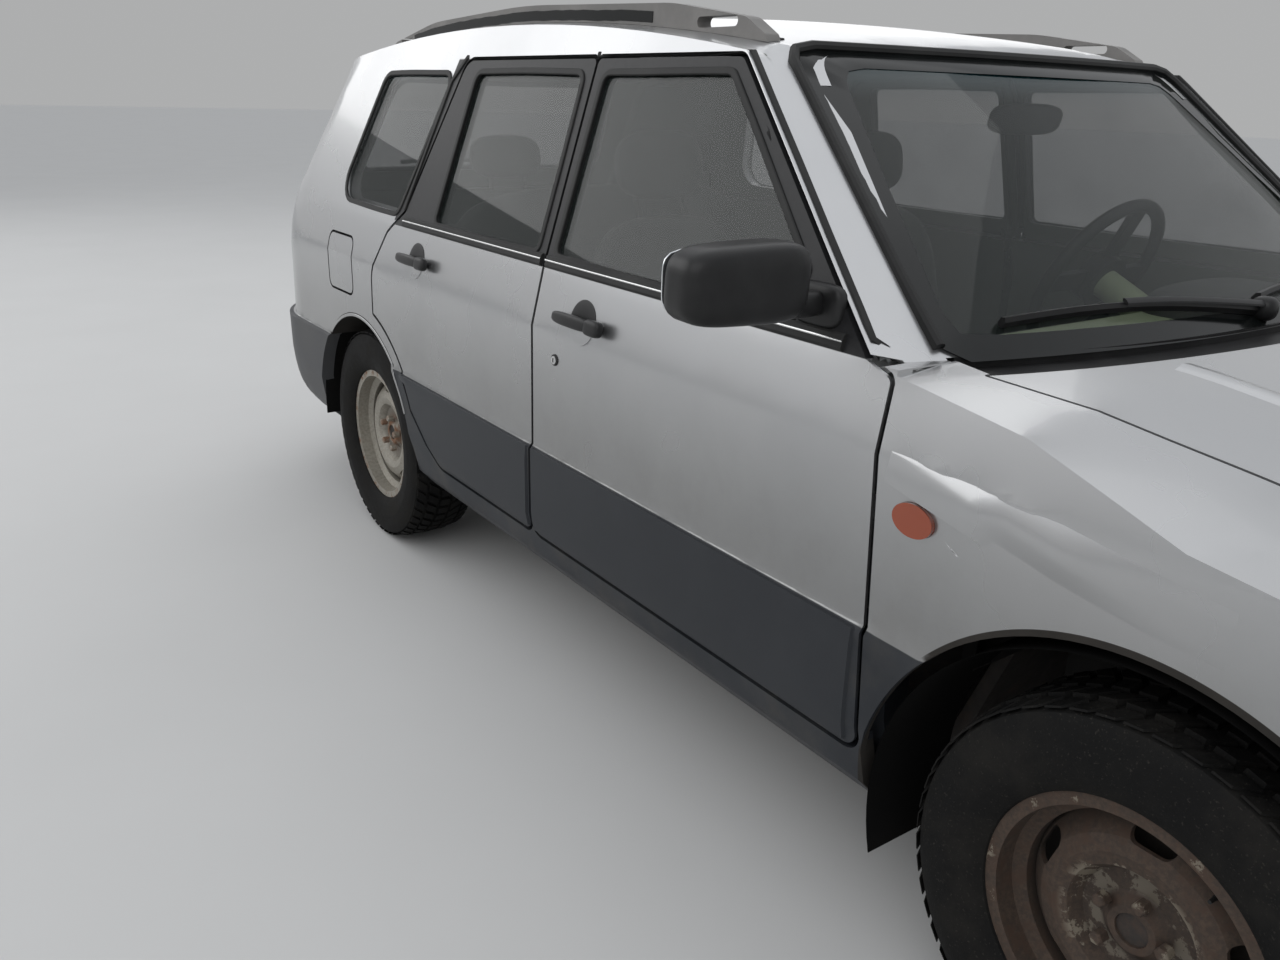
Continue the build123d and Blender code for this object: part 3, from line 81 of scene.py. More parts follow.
class Graph:
    """Short hand for one material's nodes, with a Principled shader at its end."""

    def __init__(self, name, **values):
        self.material = bpy.data.materials.new(name)
        self.material.use_nodes = True
        self.tree = self.material.node_tree
        self.shader = self.tree.nodes["Principled BSDF"]
        self.place = self.add("ShaderNodeTexCoord")
        self.object = self.place.outputs["Object"]
        for key, value in values.items():
            self.shader.inputs[key.replace("_", " ")].default_value = value

    def add(self, kind, **settings):
        node = self.tree.nodes.new(kind)
        for key, value in settings.items():
            setattr(node, key, value)
        return node

    def put(self, socket, value):
        if isinstance(value, bpy.types.NodeSocket):
            self.tree.links.new(value, socket)
        else:
            socket.default_value = value

    def times(self, a, b):
        return self.math("MULTIPLY", a, b)

    def math(self, kind, a, b=0.0, clamp=False):
        node = self.add("ShaderNodeMath", operation=kind, use_clamp=clamp)
        self.put(node.inputs[0], a)
        self.put(node.inputs[1], b)
        return node.outputs[0]

    def axis(self, index, source=None):
        key = "axes" if source is None else "axes_normal"
        if not hasattr(self, key):
            node = self.add("ShaderNodeSeparateXYZ")
            self.put(node.inputs[0], source or self.object)
            setattr(self, key, node)
        return getattr(self, key).outputs[index]

    def step(self, value, low, high):
        """0 below low, 1 above high, and smooth between; low may be above high."""
        node = self.add("ShaderNodeMapRange", interpolation_type="SMOOTHSTEP")
        self.put(node.inputs["Value"], value)
        flip = low > high
        self.put(node.inputs["From Min"], high if flip else low)
        self.put(node.inputs["From Max"], low if flip else high)
        self.put(node.inputs["To Min"], 1.0 if flip else 0.0)
        self.put(node.inputs["To Max"], 0.0 if flip else 1.0)
        return node.outputs["Result"]

    def noise(self, scale, detail=3.0, rough=0.55):
        node = self.add("ShaderNodeTexNoise")
        self.put(node.inputs["Vector"], self.object)
        node.inputs["Scale"].default_value = scale
        node.inputs["Detail"].default_value = detail
        node.inputs["Roughness"].default_value = rough
        return node.outputs["Fac"]

    def cells(self, scale):
        node = self.add("ShaderNodeTexVoronoi", feature="F1")
        self.put(node.inputs["Vector"], self.object)
        node.inputs["Scale"].default_value = scale
        return node.outputs["Distance"]

    def mix(self, share, a, b):
        node = self.add("ShaderNodeMix", data_type="RGBA")
        self.put(node.inputs[0], share)
        for socket, colour in ((node.inputs[6], a), (node.inputs[7], b)):
            if isinstance(colour, bpy.types.NodeSocket):
                self.put(socket, colour)
            else:
                socket.default_value = (*colour[:3], 1.0)
        return node.outputs[2]

    def blend(self, share, a, b):
        node = self.add("ShaderNodeMix", data_type="FLOAT")
        self.put(node.inputs[0], share)
        self.put(node.inputs[2], a)
        self.put(node.inputs[3], b)
        return node.outputs[0]

    def spread(self, y0, z0):
        """Distance from an axle's line."""
        y = self.math("SUBTRACT", self.axis(1), y0)
        z = self.math("SUBTRACT", self.axis(2), z0)
        total = self.math("ADD", self.times(y, y), self.times(z, z))
        return self.math("SQRT", total)

    def bump(self, height, strength, distance=0.001):
        node = self.add("ShaderNodeBump")
        node.inputs["Strength"].default_value = strength
        node.inputs["Distance"].default_value = distance
        self.put(node.inputs["Height"], height)
        self.put(self.shader.inputs["Normal"], node.outputs[0])

    def set(self, name, value):
        self.put(self.shader.inputs[name], value)


SILVER = (0.540, 0.543, 0.548)
BAND = (0.022, 0.0245, 0.029)
BLACK = (0.011, 0.011, 0.012)
TRIM = (0.135, 0.150, 0.128)
UNDER = (0.018, 0.017, 0.016)
RUST = (0.055, 0.032, 0.021)


def inward(g):
    """1 on faces that look towards the car's middle, and on what lies deep in the cabin's
    walls."""
    normal = g.axis(0, g.place.outputs["Normal"])
    facing = g.step(g.times(normal, g.axis(0)), -0.12, -0.20)
    lean = g.times(g.math("SUBTRACT", g.axis(2), BELT_Z), 0.316)
    reach = g.math("ADD", g.math("ABSOLUTE", g.axis(0)), lean)
    deep = g.times(g.step(reach, 0.790, 0.784), g.step(g.axis(2), 1.004, 1.006))
    level = g.step(g.times(normal, g.axis(0)), 0.06, 0.0)
    return g.math("MAXIMUM", facing, g.times(deep, level))


def paint(name, band=False, frames=None, inner=None, arches=False):
    """Silver metallic paint, darkened below the belt by painted shade, with a dark band along
    the foot, black window frames and trimmed inner faces where asked for."""
    g = Graph(name, Coat_Weight=0.55, Coat_Roughness=0.07)
    cloud = g.noise(2.2, 4.0)
    flake = g.cells(900.0)
    dirt = g.times(g.step(g.axis(2), 0.95, 0.30), g.step(g.noise(9.0, 6.0, 0.7), 0.42, 0.72))
    # painted shade: the paint darkens unevenly from the belt (1.0 m) down to 0.62 m, where the lower body is
    # in shade
    painted_shade_below_belt = g.times(g.step(g.axis(2), 1.0, 0.62), g.blend(g.noise(4.0, 6.0, 0.7), 0.46, 0.70))
    colour = g.mix(g.step(cloud, 0.3, 0.7), SILVER, (0.500, 0.505, 0.515))
    colour = g.mix(g.times(g.step(flake, 0.1, 0.7), 0.18), colour, (0.58, 0.585, 0.59))
    colour = g.mix(painted_shade_below_belt, colour, (0.150, 0.148, 0.140))
    colour = g.mix(g.times(dirt, 0.30), colour, (0.20, 0.19, 0.17))
    finish = {
        "Base Color": colour, "Metallic": 0.90, "Roughness": g.blend(g.step(cloud, 0.35, 0.7), 0.26, 0.33),
        "Coat Weight": 0.55, "Specular IOR Level": 0.5,
    }

    def cover(share, over, rough, shine=None):
        """Lays another finish over the paint where share is 1."""
        finish["Base Color"] = g.mix(share, finish["Base Color"], over)
        layers = {"Metallic": 0.0, "Roughness": rough, "Coat Weight": 0.0, "Specular IOR Level": shine}
        for key, value in layers.items():
            if value is not None:
                finish[key] = g.blend(share, finish[key], value)

    if band:
        share = g.step(g.axis(2), BAND_Z + 0.001, BAND_Z - 0.001)
        dark = g.mix(g.step(g.noise(7.0, 5.0), 0.3, 0.75), BAND, (0.034, 0.037, 0.042))
        dark = g.mix(g.times(dirt, 0.4), dark, (0.075, 0.069, 0.060))
        cover(share, dark, g.blend(g.noise(420.0, 2.0), 0.42, 0.58), 0.25)
    if frames:
        cover(frames(g), g.mix(g.noise(60.0), BLACK, (0.022, 0.022, 0.023)), 0.42, 0.30)
    if arches:
        near = g.step(g.spread(AXLES["rear"], AXLE_Z + 0.004), 0.3805, 0.3795)
        ahead = g.step(g.spread(AXLES["front"], AXLE_Z + 0.004), 0.4295, 0.4285)
        deep = g.step(g.math("ABSOLUTE", g.axis(0)), 0.862, 0.858)
        share = g.times(g.math("MAXIMUM", near, ahead), deep)
        cover(share, g.mix(g.noise(14.0, 6.0), UNDER, (0.05, 0.045, 0.04)), 0.85, 0.10)
    if inner:
        cover(inner(g), g.mix(g.noise(300.0, 2.0), TRIM, (0.105, 0.115, 0.10)), 0.72)
    for key, value in finish.items():
        g.set(key, value)
    g.bump(g.noise(520.0, 2.0), 0.04, 0.0004)
    return g.material


def above_belt(g):
    return g.step(g.axis(2), 1.0015, 1.0035)


def rear_band(g):
    """The side frame's part above the belt between the rear door and the quarter window."""
    edge = g.math("ADD", g.axis(1), g.times(g.axis(2), 0.405))
    inside = g.times(g.step(edge, 1.3675, 1.3655), g.step(g.axis(1), 0.0, 0.01))
    height = g.times(g.step(g.axis(2), 1.012, 1.016), g.step(g.axis(2), 1.430, 1.426))
    return g.times(inside, height)


def roof_inner(g):
    return g.step(g.axis(2, g.place.outputs["Normal"]), -0.25, -0.35)


def gate_inner(g):
    return g.step(g.axis(1, g.place.outputs["Normal"]), -0.15, -0.3)


def plastic(name, colour, worn, rough=(0.42, 0.58), grain=(420.0, 0.25), wear=0.5, shine=0.30):
    """Moulded plastic or rubber: fine grain, slow change of colour and some wear."""
    g = Graph(name, Specular_IOR_Level=shine)
    cloud = g.noise(6.0, 5.0, 0.6)
    colour = g.mix(g.times(g.step(cloud, 0.35, 0.8), wear), colour, worn)
    speck = g.step(g.noise(190.0, 3.0), 0.62, 0.75)
    g.set("Base Color", g.mix(g.times(speck, 0.12), colour, worn))
    g.set("Roughness", g.blend(cloud, *rough))
    g.bump(g.noise(grain[0], 2.0), grain[1], 0.0005)
    return g.material


def cabin_plastic(name):
    """Trim of the cabin: dark on the walls, pale green on the dashboard."""
    g = Graph(name, Specular_IOR_Level=0.3)
    ahead = g.times(g.step(g.axis(1), -0.36, -0.42), g.step(g.axis(2), 0.78, 0.84))
    dash = g.times(ahead, g.step(g.math("ABSOLUTE", g.axis(0)), 0.74, 0.72))
    cloud = g.step(g.noise(6.0, 5.0, 0.6), 0.35, 0.8)
    colour = g.mix(cloud, TRIM, (0.17, 0.20, 0.14))
    g.set("Base Color", g.mix(dash, colour, g.mix(cloud, (0.36, 0.44, 0.27), (0.46, 0.53, 0.35))))
    g.set("Roughness", g.blend(cloud, 0.6, 0.8))
    g.bump(g.noise(260.0, 2.0), 0.45, 0.0005)
    return g.material


def metal(name, colour, worn, rough=(0.35, 0.6), rust=0.3, shine=0.85, arch=False):
    """Bare or primed metal with rust in patches; arch darkens what the front wheel soils."""
    g = Graph(name)
    patch = g.times(g.step(g.noise(16.0, 7.0, 0.7), 0.5, 0.66), rust)
    base = g.mix(g.noise(40.0, 4.0), colour, worn)
    if arch:
        near = g.step(g.spread(AXLES["front"], AXLE_Z), 0.47, 0.44)
        soiled = g.times(near, g.step(g.math("ABSOLUTE", g.axis(0)), 0.40, 0.44))
        base = g.mix(soiled, base, UNDER)
    g.set("Base Color", g.mix(patch, base, RUST))
    g.set("Metallic", g.blend(patch, shine, 0.0))
    g.set("Roughness", g.blend(g.noise(70.0, 4.0), *rough))
    g.bump(g.noise(160.0, 5.0), 0.3, 0.0008)
    return g.material


def weave(name, colour, second):
    """Woven cloth: two crossed sets of threads and a slow change of shade."""
    g = Graph(name, Sheen_Weight=0.35, Sheen_Roughness=0.5)
    threads = []
    for turn in ((1, 0.2, 0.15), (0.15, 1, 1)):
        wave = g.add("ShaderNodeTexWave", wave_type="BANDS", bands_direction="DIAGONAL")
        move = g.add("ShaderNodeMapping")
        g.put(move.inputs["Vector"], g.object)
        move.inputs["Scale"].default_value = turn
        g.put(wave.inputs["Vector"], move.outputs[0])
        wave.inputs["Scale"].default_value = 700.0
        wave.inputs["Distortion"].default_value = 1.5
        threads.append(wave.outputs["Fac"])
    cloth = g.times(threads[0], threads[1])
    shade = g.mix(g.noise(30.0, 4.0), colour, second)
    g.set("Base Color", g.mix(g.times(cloth, 0.4), shade, tuple(c * 1.7 for c in colour)))
    g.set("Roughness", g.blend(cloth, 0.8, 0.95))
    g.bump(cloth, 0.5, 0.0008)
    return g.material


def glass(name, tint, shade=None):
    """Thin pane: what is behind it shows through a tint, and it mirrors what is before it."""
    g = Graph(name, Roughness=0.02, IOR=1.5, Specular_IOR_Level=0.8)
    dust = g.times(g.step(g.noise(5.0, 6.0, 0.65), 0.45, 0.8), 0.07)
    colour = g.mix(g.noise(3.0), (0.012, 0.018, 0.016), (0.03, 0.036, 0.034))
    alpha = g.math("ADD", 1.0 - tint, dust)
    if shade:
        share = g.step(g.axis(2), *shade)
        colour = g.mix(share, colour, (0.004, 0.030, 0.036))
        alpha = g.math("ADD", alpha, g.times(share, 0.42), True)
    g.set("Base Color", colour)
    g.set("Alpha", alpha)
    return g.material


def wheel_paint(name, axle, base, worn, rusty):
    """Steel wheel: paint that has flaked to rust, most of it where the stones strike; painted shade darkens
    all inboard of its face.
    """
    g = Graph(name)
    radius = g.spread(AXLES[axle], AXLE_Z)
    rough = g.noise(26.0, 9.0, 0.72)
    fine = g.noise(120.0, 6.0, 0.7)
    colour = g.mix(g.step(fine, 0.35, 0.7), base, worn)
    if rusty:
        ring = g.times(g.step(radius, 0.046, 0.056), g.step(radius, 0.108, 0.088))
        flake = g.times(ring, g.step(rough, 0.50, 0.54))
        edge = g.times(g.step(radius, 0.185, 0.192), g.step(rough, 0.58, 0.62))
        colour = g.mix(g.step(rough, 0.45, 0.62), colour, RUST)
        share = g.math("MAXIMUM", flake, edge)
        colour = g.mix(share, colour, (0.17, 0.145, 0.11))
        g.set("Roughness", g.blend(share, 0.82, 0.55))
    else:
        hub = g.times(g.step(radius, 0.085, 0.030), g.step(rough, 0.36, 0.52))
        edge = g.times(g.step(radius, 0.180, 0.200), g.step(rough, 0.50, 0.58))
        spots = g.step(rough, 0.66, 0.70)
        share = g.math("MAXIMUM", g.math("MAXIMUM", hub, edge), spots)
        colour = g.mix(share, colour, (0.17, 0.085, 0.045))
        g.set("Roughness", g.blend(share, 0.42, 0.85))
        g.set("Metallic", g.blend(share, 0.35, 0.0))
    # painted shade: everything inboard of the wheel's face, behind its windows, is painted near black
    inner_painted_shade = g.step(g.math("ABSOLUTE", g.axis(0)), 0.735, 0.775)
    g.set("Base Color", g.mix(inner_painted_shade, (0.030, 0.024, 0.020), colour))
    g.bump(rough, 0.55, 0.0012)
    return g.material


def rubber(name):
    g = Graph(name, Specular_IOR_Level=0.12)
    dust = g.step(g.noise(11.0, 7.0, 0.68), 0.38, 0.75)
    colour = g.mix(dust, (0.006, 0.006, 0.006), (0.017, 0.016, 0.0145))
    g.set("Base Color", g.mix(g.step(g.noise(240.0, 3.0), 0.6, 0.72), colour, (0.026, 0.024, 0.021)))
    g.set("Roughness", g.blend(dust, 0.62, 0.9))
    g.bump(g.noise(260.0, 4.0), 0.35, 0.0007)
    return g.material


def lens(name, colour, clear, ribs, bands=None, amber_behind=None):
    """Moulded lens with prisms; bands are (low, high, colour) by height."""
    g = Graph(name, Roughness=0.08, Coat_Weight=0.8, Coat_Roughness=0.03, IOR=1.49)
    wave = g.add("ShaderNodeTexWave", wave_type="BANDS", bands_direction="X")
    g.put(wave.inputs["Vector"], g.object)
    wave.inputs["Scale"].default_value = ribs
    tone = g.mix(g.times(wave.outputs["Fac"], 0.45), colour, clear)
    for low, high, other in bands or ():
        inside = g.times(g.step(g.axis(2), low, low + 0.003), g.step(g.axis(2), high, high - 0.003))
        tone = g.mix(inside, tone, g.mix(g.times(wave.outputs["Fac"], 0.4), other, clear))
    if amber_behind is not None:
        tone = g.mix(g.step(g.axis(1), amber_behind, amber_behind + 0.01), tone, (0.260, 0.038, 0.004))
    g.set("Base Color", tone)
    g.bump(wave.outputs["Fac"], 0.6, 0.002)
    return g.material


mats = {
    "paint": paint("paint"),
    "door": paint("door_paint", band=True, frames=above_belt, inner=inward),
    "frame": paint("frame_paint", band=True, frames=rear_band, inner=inward, arches=True),
    "wing": paint("wing_paint", band=True, arches=True),
    "roof": paint("roof_paint", inner=roof_inner),
    "gate": paint("tailgate_paint", inner=gate_inner),
    "bumper": plastic(
        "bumper_plastic", (0.060, 0.062, 0.066), (0.11, 0.108, 0.104), (0.4, 0.6), (350.0, 0.3)
    ),
    "band": plastic("band_plastic", BAND, (0.036, 0.039, 0.044), (0.36, 0.55), (380.0, 0.25)),
    "black": plastic("black_plastic", (0.012, 0.012, 0.0125), (0.04, 0.04, 0.04), (0.3, 0.45), (500.0, 0.22)),
    "seal": plastic("seal_rubber", (0.010, 0.010, 0.010), (0.05, 0.05, 0.048), (0.45, 0.65), (300.0, 0.2)),
    "rail": plastic(
        "rail_plastic", (0.150, 0.145, 0.139), (0.25, 0.24, 0.23), (0.45, 0.65), (240.0, 0.4), 0.8, 0.5
    ),
    "trim": cabin_plastic("trim_plastic"),
    "dark_trim": plastic("dark_trim", (0.060, 0.062, 0.060), (0.10, 0.10, 0.095), (0.55, 0.75), (260.0, 0.4)),
    "wheel_grip": plastic(
        "grip_plastic", (0.014, 0.014, 0.015), (0.03, 0.03, 0.03), (0.35, 0.55), (300.0, 0.3)
    ),
    "primer": metal("primed_steel", (0.20, 0.205, 0.21), (0.30, 0.30, 0.30), (0.5, 0.7), 0.25, 0.3, True),
    "under": metal("chassis_steel", UNDER, (0.06, 0.05, 0.045), (0.65, 0.85), 0.6, 0.3),
    "cast": metal("cast_metal", (0.33, 0.33, 0.32), (0.20, 0.195, 0.19), (0.5, 0.7), 0.15, 0.8),
    "exhaust": metal("exhaust_steel", (0.22, 0.19, 0.165), (0.12, 0.09, 0.075), (0.45, 0.7), 0.55, 0.8),
    "tank": plastic("tank_plastic", (0.03, 0.03, 0.03), (0.08, 0.075, 0.07), (0.6, 0.8)),
    "bright": metal("bright_metal", (0.72, 0.72, 0.72), (0.55, 0.55, 0.55), (0.18, 0.3), 0.03, 1.0),
    "seat": weave("seat_fabric", (0.055, 0.056, 0.058), (0.085, 0.085, 0.083)),
    "screen": glass("screen_glass", 0.70, (1.352, 1.430)),
    "pane": glass("side_glass", 0.60),
    "gate_pane": glass("rear_glass", 0.55),
    "tyre": rubber("tyre_rubber"),
    "front_rim": wheel_paint(
        "front_wheel_steel", "front", (0.040, 0.028, 0.021), (0.070, 0.046, 0.032), True
    ),
    "rear_rim": wheel_paint("rear_wheel_steel", "rear", (0.34, 0.32, 0.275), (0.25, 0.23, 0.195), False),
    "lamp": lens("lamp_lens", (0.62, 0.64, 0.66), (0.85, 0.86, 0.88), 22.0, None, -1.2),
    "tail": lens(
        "rear_lamp_lens", (0.42, 0.012, 0.010), (0.75, 0.06, 0.04), 26.0,
        [(.845, .905, (0.75, 0.25, 0.03)), (.760, .800, (0.75, 0.74, 0.72))]
    ),
    "frit": plastic("screen_frit", (0.006, 0.007, 0.007), (0.014, 0.015, 0.015), (0.08, 0.16), (500.0, 0.02)),
    "liner": plastic(
        "arch_liner", (0.007, 0.007, 0.007), (0.014, 0.013, 0.012), (0.8, 0.95), (200.0, 0.3), 0.5, 0.05
    ),
    "mirror": metal("mirror_glass", (0.82, 0.84, 0.86), (0.80, 0.82, 0.84), (0.02, 0.04), 0.0, 1.0),
    "plate": plastic("plate_white", (0.72, 0.72, 0.70), (0.62, 0.61, 0.58), (0.3, 0.45), (200.0, 0.05)),
}

CAD_LOOKS = {
    "side_frame_right": "frame", "side_frame_left": "frame", "roof_panel": "roof", "bonnet": "paint",
    "front_wings": "wing", "front_bumper": "bumper", "rear_bumper": "bumper", "front_lamps": "lamp",
    "grille": "black", "scuttle": "black", "front_structure": "primer", "floor_pan": "under",
    "tail_lamps": "tail", "tailgate": "gate", "tailgate_glass": "gate_pane", "fuel_flap": "paint",
    "roof_rails": "rail", "powertrain": "cast", "exhaust": "exhaust", "fuel_tank": "tank",
    "front_suspension": "under", "rear_suspension": "under", "cabin_trim": "trim",
    "steering_wheel": "wheel_grip", "fixed_glass": "screen", "rear_seat": "seat", "front_seats": "seat",
}
for tag, _ in SIDES:
    for row in ("front", "rear"):
        CAD_LOOKS[f"{row}_door_{tag}"] = "door"
        CAD_LOOKS[f"{row}_door_glass_{tag}"] = "pane"
        CAD_LOOKS[f"{row}_door_fittings_{tag}"] = "black"
        CAD_LOOKS[f"{row}_tyre_{tag}"] = "tyre"
        CAD_LOOKS[f"{row}_wheel_{tag}"] = f"{row}_rim"
    CAD_LOOKS[f"knuckle_{tag}"] = "under"
for name, look in CAD_LOOKS.items():
    data = nodes[name].data
    data.materials.clear()
    data.materials.append(mats[look])


# Mesh helpers

def piece(name, body, look, form, smooth=True, bevel=0.0, subdivide=0, crease=35.0):
    """New mesh piece that rides on a body, in the car's own coordinates. Its form is a pair
    of verts and faces."""
    verts, faces = form
    mesh = bpy.data.meshes.new(name)
    mesh.from_pydata([tuple(v) for v in verts], [], faces)
    work = bmesh.new()
    work.from_mesh(mesh)
    bmesh.ops.remove_doubles(work, verts=work.verts, dist=1e-6)
    bmesh.ops.recalc_face_normals(work, faces=work.faces)
    work.to_mesh(mesh)
    work.free()
    made = bpy.data.objects.new(name, mesh)
    bpy.context.scene.collection.objects.link(made)
    mesh.materials.append(mats[look])
    if bevel:
        cut = made.modifiers.new("bevel", "BEVEL")
        cut.width, cut.segments, cut.limit_method = bevel, 2, "ANGLE"
        cut.angle_limit = math.radians(crease)
    if subdivide:
        made.modifiers.new("subdivide", "SUBSURF").levels = subdivide
        made.modifiers["subdivide"].render_levels = subdivide
    if smooth:
        for face in mesh.polygons:
            face.use_smooth = True
        if not subdivide:
            mesh.set_sharp_from_angle(angle=math.radians(crease))
    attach(made, body)
    return made


def rounded(rows, parts=6):
    """Points of a closed outline from rows of two coordinates and a corner radius."""
    points = []
    count = len(rows)
    for i, (a, b, radius) in enumerate(rows):
        corner = Vector((a, b))
        back = (Vector(rows[i - 1][:2]) - corner).normalized()
        ahead = (Vector(rows[(i + 1) % count][:2]) - corner).normalized()
        half = back.angle(ahead) / 2
        reach = radius / math.tan(half)
        centre = corner + (back + ahead).normalized() * radius / math.sin(half)
        start, end = corner + back * reach - centre, corner + ahead * reach - centre
        turn = start.angle_signed(end)
        for k in range(parts + 1):
            spin = Matrix.Rotation(-turn * k / parts, 2)
            points.append(tuple(centre + spin @ start))
    return points


def dense(points, gap, closed=True):
    """The same line with points at most gap apart."""
    out = []
    pairs = zip(points, points[1:] + points[:1] if closed else points[1:])
    for a, b in pairs:
        a, b = Vector(a), Vector(b)
        count = max(1, int(math.ceil((b - a).length / gap)))
        out += [tuple(a.lerp(b, k / count)) for k in range(count)]
    if not closed:
        out.append(tuple(points[-1]))
    return out


class Skin:
    """Outer surface of some CAD nodes or softened panels, found by rays from outside."""

    def __init__(self, names, panels=()):
        verts, faces = [], []
        for data in [nodes[name].data for name in names] + [panel.data for panel in panels]:
            start = len(verts)
            verts += [v.co.copy() for v in data.vertices]
            faces += [[start + i for i in p.vertices] for p in data.polygons]
        self.tree = BVHTree.FromPolygons(verts, faces)

    def hit(self, start, way):
        place, normal, _, _ = self.tree.ray_cast(Vector(start), Vector(way))
        if place is None:
            return None
        if normal.dot(Vector(way)) > 0:
            normal = -normal
        return place, normal

    def side(self, side, y, z):
        return self.hit((side * 1.3, y, z), (-side, 0, 0))

    def front(self, x, z):
        return self.hit((x, -3.0, z), (0, 1, 0))

    def rear(self, x, z):
        return self.hit((x, 3.0, z), (0, -1, 0))

    def top(self, x, y):
        return self.hit((x, y, 2.0), (0, 0, -1))


def trace(probe, places):
    """What a skin's probe finds at some places, without the misses."""
    found = [probe(*place) for place in places]
    return [pair for pair in found if pair]


def grid_faces(rows, ring, wrap_rows=False, wrap_ring=False):
    """Faces between neighbouring points of rows with ring points each."""
    faces = []
    for i in range(rows if wrap_rows else rows - 1):
        j = (i + 1) % rows
        for k in range(ring if wrap_ring else ring - 1):
            m = (k + 1) % ring
            faces.append((i * ring + k, i * ring + m, j * ring + m, j * ring + k))
    return faces


def sweep(path, profile, closed=False):
    """Verts and faces of a profile carried along (place, normal) pairs. The profile's
    first number runs across the path, the second out along the normal."""
    count, ring = len(path), len(profile)
    verts = []
    for i, (place, normal) in enumerate(path):
        back = path[i - 1][0] if closed or i else place
        ahead = path[(i + 1) % count][0] if closed or i + 1 < count else place
        tangent = (ahead - back).normalized()
        across = tangent.cross(normal).normalized()
        out = across.cross(tangent).normalized()
        verts += [place + across * a + out * b for a, b in profile]
    faces = grid_faces(count, ring, closed, True)
    if not closed:
        faces.append(tuple(range(ring)))
        faces.append(tuple(range((count - 1) * ring, count * ring)))
    return verts, faces


def oval(width, height):
    """Flattened round profile of eight points."""
    turns = [math.pi / 4 * k for k in range(8)]
    return [(width / 2 * math.cos(turn), height / 2 * math.sin(turn)) for turn in turns]


def slab(width, height, foot=-0.002):
    """Low strip profile with rounded shoulders."""
    w = width / 2
    return [
        (-w, foot), (-w, height * 0.55), (-w * 0.72, height), (w * 0.72, height), (w, height * 0.55),
        (w, foot),
    ]


def revolve(profile, axis_y, axis_z, side, parts=64):
    """Verts and faces of a profile (x from the car's middle, radius) about an axle line."""
    verts = []
    for i in range(parts):
        turn = 2 * math.pi * i / parts
        for x, radius in profile:
            verts.append((side * x, axis_y + radius * math.cos(turn), axis_z + radius * math.sin(turn)))
    return verts, grid_faces(parts, len(profile), True)


def soften(name, limit=38.0, length=0.030, rounds=14):
    """Finer copy of a CAD panel whose shallow creases are rounded; its edges stay."""
    source = nodes[name].data
    work = bmesh.new()
    work.from_mesh(source)
    bmesh.ops.remove_doubles(work, verts=work.verts, dist=2e-5)
    bmesh.ops.dissolve_degenerate(work, edges=work.edges, dist=1e-5)
    sharp_angle = math.radians(limit)
    for _ in range(6):
        long = [e for e in work.edges if e.calc_length() > length]
        if not long:
            break
        bmesh.ops.subdivide_edges(work, edges=long, cuts=1)
        bmesh.ops.triangulate(work, faces=[f for f in work.faces if len(f.verts) > 3])
    fixed = set()
    for edge in work.edges:
        hard = len(edge.link_faces) != 2 or edge.calc_face_angle(0.0) > sharp_angle
        edge.smooth = not hard
        if hard:
            fixed.update(edge.verts)
    free = [v for v in work.verts if v not in fixed]
    for _ in range(rounds):
        bmesh.ops.smooth_vert(work, verts=free, factor=0.5, use_axis_x=True, use_axis_y=True, use_axis_z=True)
    mesh = bpy.data.meshes.new(f"{name}_panel")
    work.to_mesh(mesh)
    work.free()
    for face in mesh.polygons:
        face.use_smooth = True
    mesh.materials.append(mats[CAD_LOOKS[name]])
    made = bpy.data.objects.new(f"{name}_panel", mesh)
    bpy.context.scene.collection.objects.link(made)
    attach(made, nodes[name]["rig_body"])
    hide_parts(name)
    return made


def pod(centre, half, power=4.0, cuts=8, turn=None, shape=None):
    """Verts and faces of a rounded box: a cube's faces drawn onto a soft form. shape
    moves a point given in parts of the half sizes."""
    verts, faces = [], []
    index = {}
    for axis in range(3):
        for sign in (-1, 1):
            grid = []
            for i in range(cuts + 1):
                row = []
                for j in range(cuts + 1):
                    a = math.tan((2 * i / cuts - 1) * math.pi / 4)
                    b = math.tan((2 * j / cuts - 1) * math.pi / 4)
                    p = [0, 0, 0]
                    p[axis], p[(axis + 1) % 3], p[(axis + 2) % 3] = sign, a, b
                    reach = sum(abs(c) ** power for c in p) ** (1 / power)
                    p = Vector([c / reach for c in p])
                    key = tuple(round(c, 5) for c in p)
                    if key not in index:
                        index[key] = len(verts)
                        q = shape(p.copy()) if shape else p
                        q = Vector((q.x * half[0], q.y * half[1], q.z * half[2]))
                        if turn:
                            q = turn @ q
                        verts.append(q + Vector(centre))
                    row.append(index[key])
                grid.append(row)
            for i in range(cuts):
                for j in range(cuts):
                    face = (grid[i][j], grid[i + 1][j], grid[i + 1][j + 1], grid[i][j + 1])
                    faces.append(face if sign > 0 else face[::-1])
    return verts, faces


def merged(parts):
    """Several (verts, faces) as one."""
    verts, faces = [], []
    for more, sides in parts:
        start = len(verts)
        verts += list(more)
        faces += [tuple(start + i for i in f) for f in sides]
    return verts, faces


def disc(centre, normal, radius, thick, parts=24, span=(0.0, 1.0), dome=0.0):
    """Low round cap, or a sector of one, that stands on a surface."""
    n = Vector(normal).normalized()
    side = n.cross(Vector((0, 0, 1))).normalized()
    top = side.cross(n).normalized()
    rings = [
        (1.0, -0.002), (1.0, thick * 0.6), (0.93, thick), (0.5, thick + dome * 0.7),
        (0.02, thick + dome),
    ]
    whole = span == (0.0, 1.0)
    count = parts if whole else parts + 1
    verts = []
    for share, lift in rings:
        for k in range(count):
            angle = 2 * math.pi * (span[0] + (span[1] - span[0]) * k / parts)
            round_it = side * math.cos(angle) + top * math.sin(angle)
            verts.append(Vector(centre) + round_it * radius * share + n * lift)
    faces = grid_faces(len(rings), count, wrap_ring=whole)
    if whole:
        faces.append(tuple(range((len(rings) - 1) * count, len(rings) * count)))
    return verts, faces


# Camera at the photograph's viewing angle

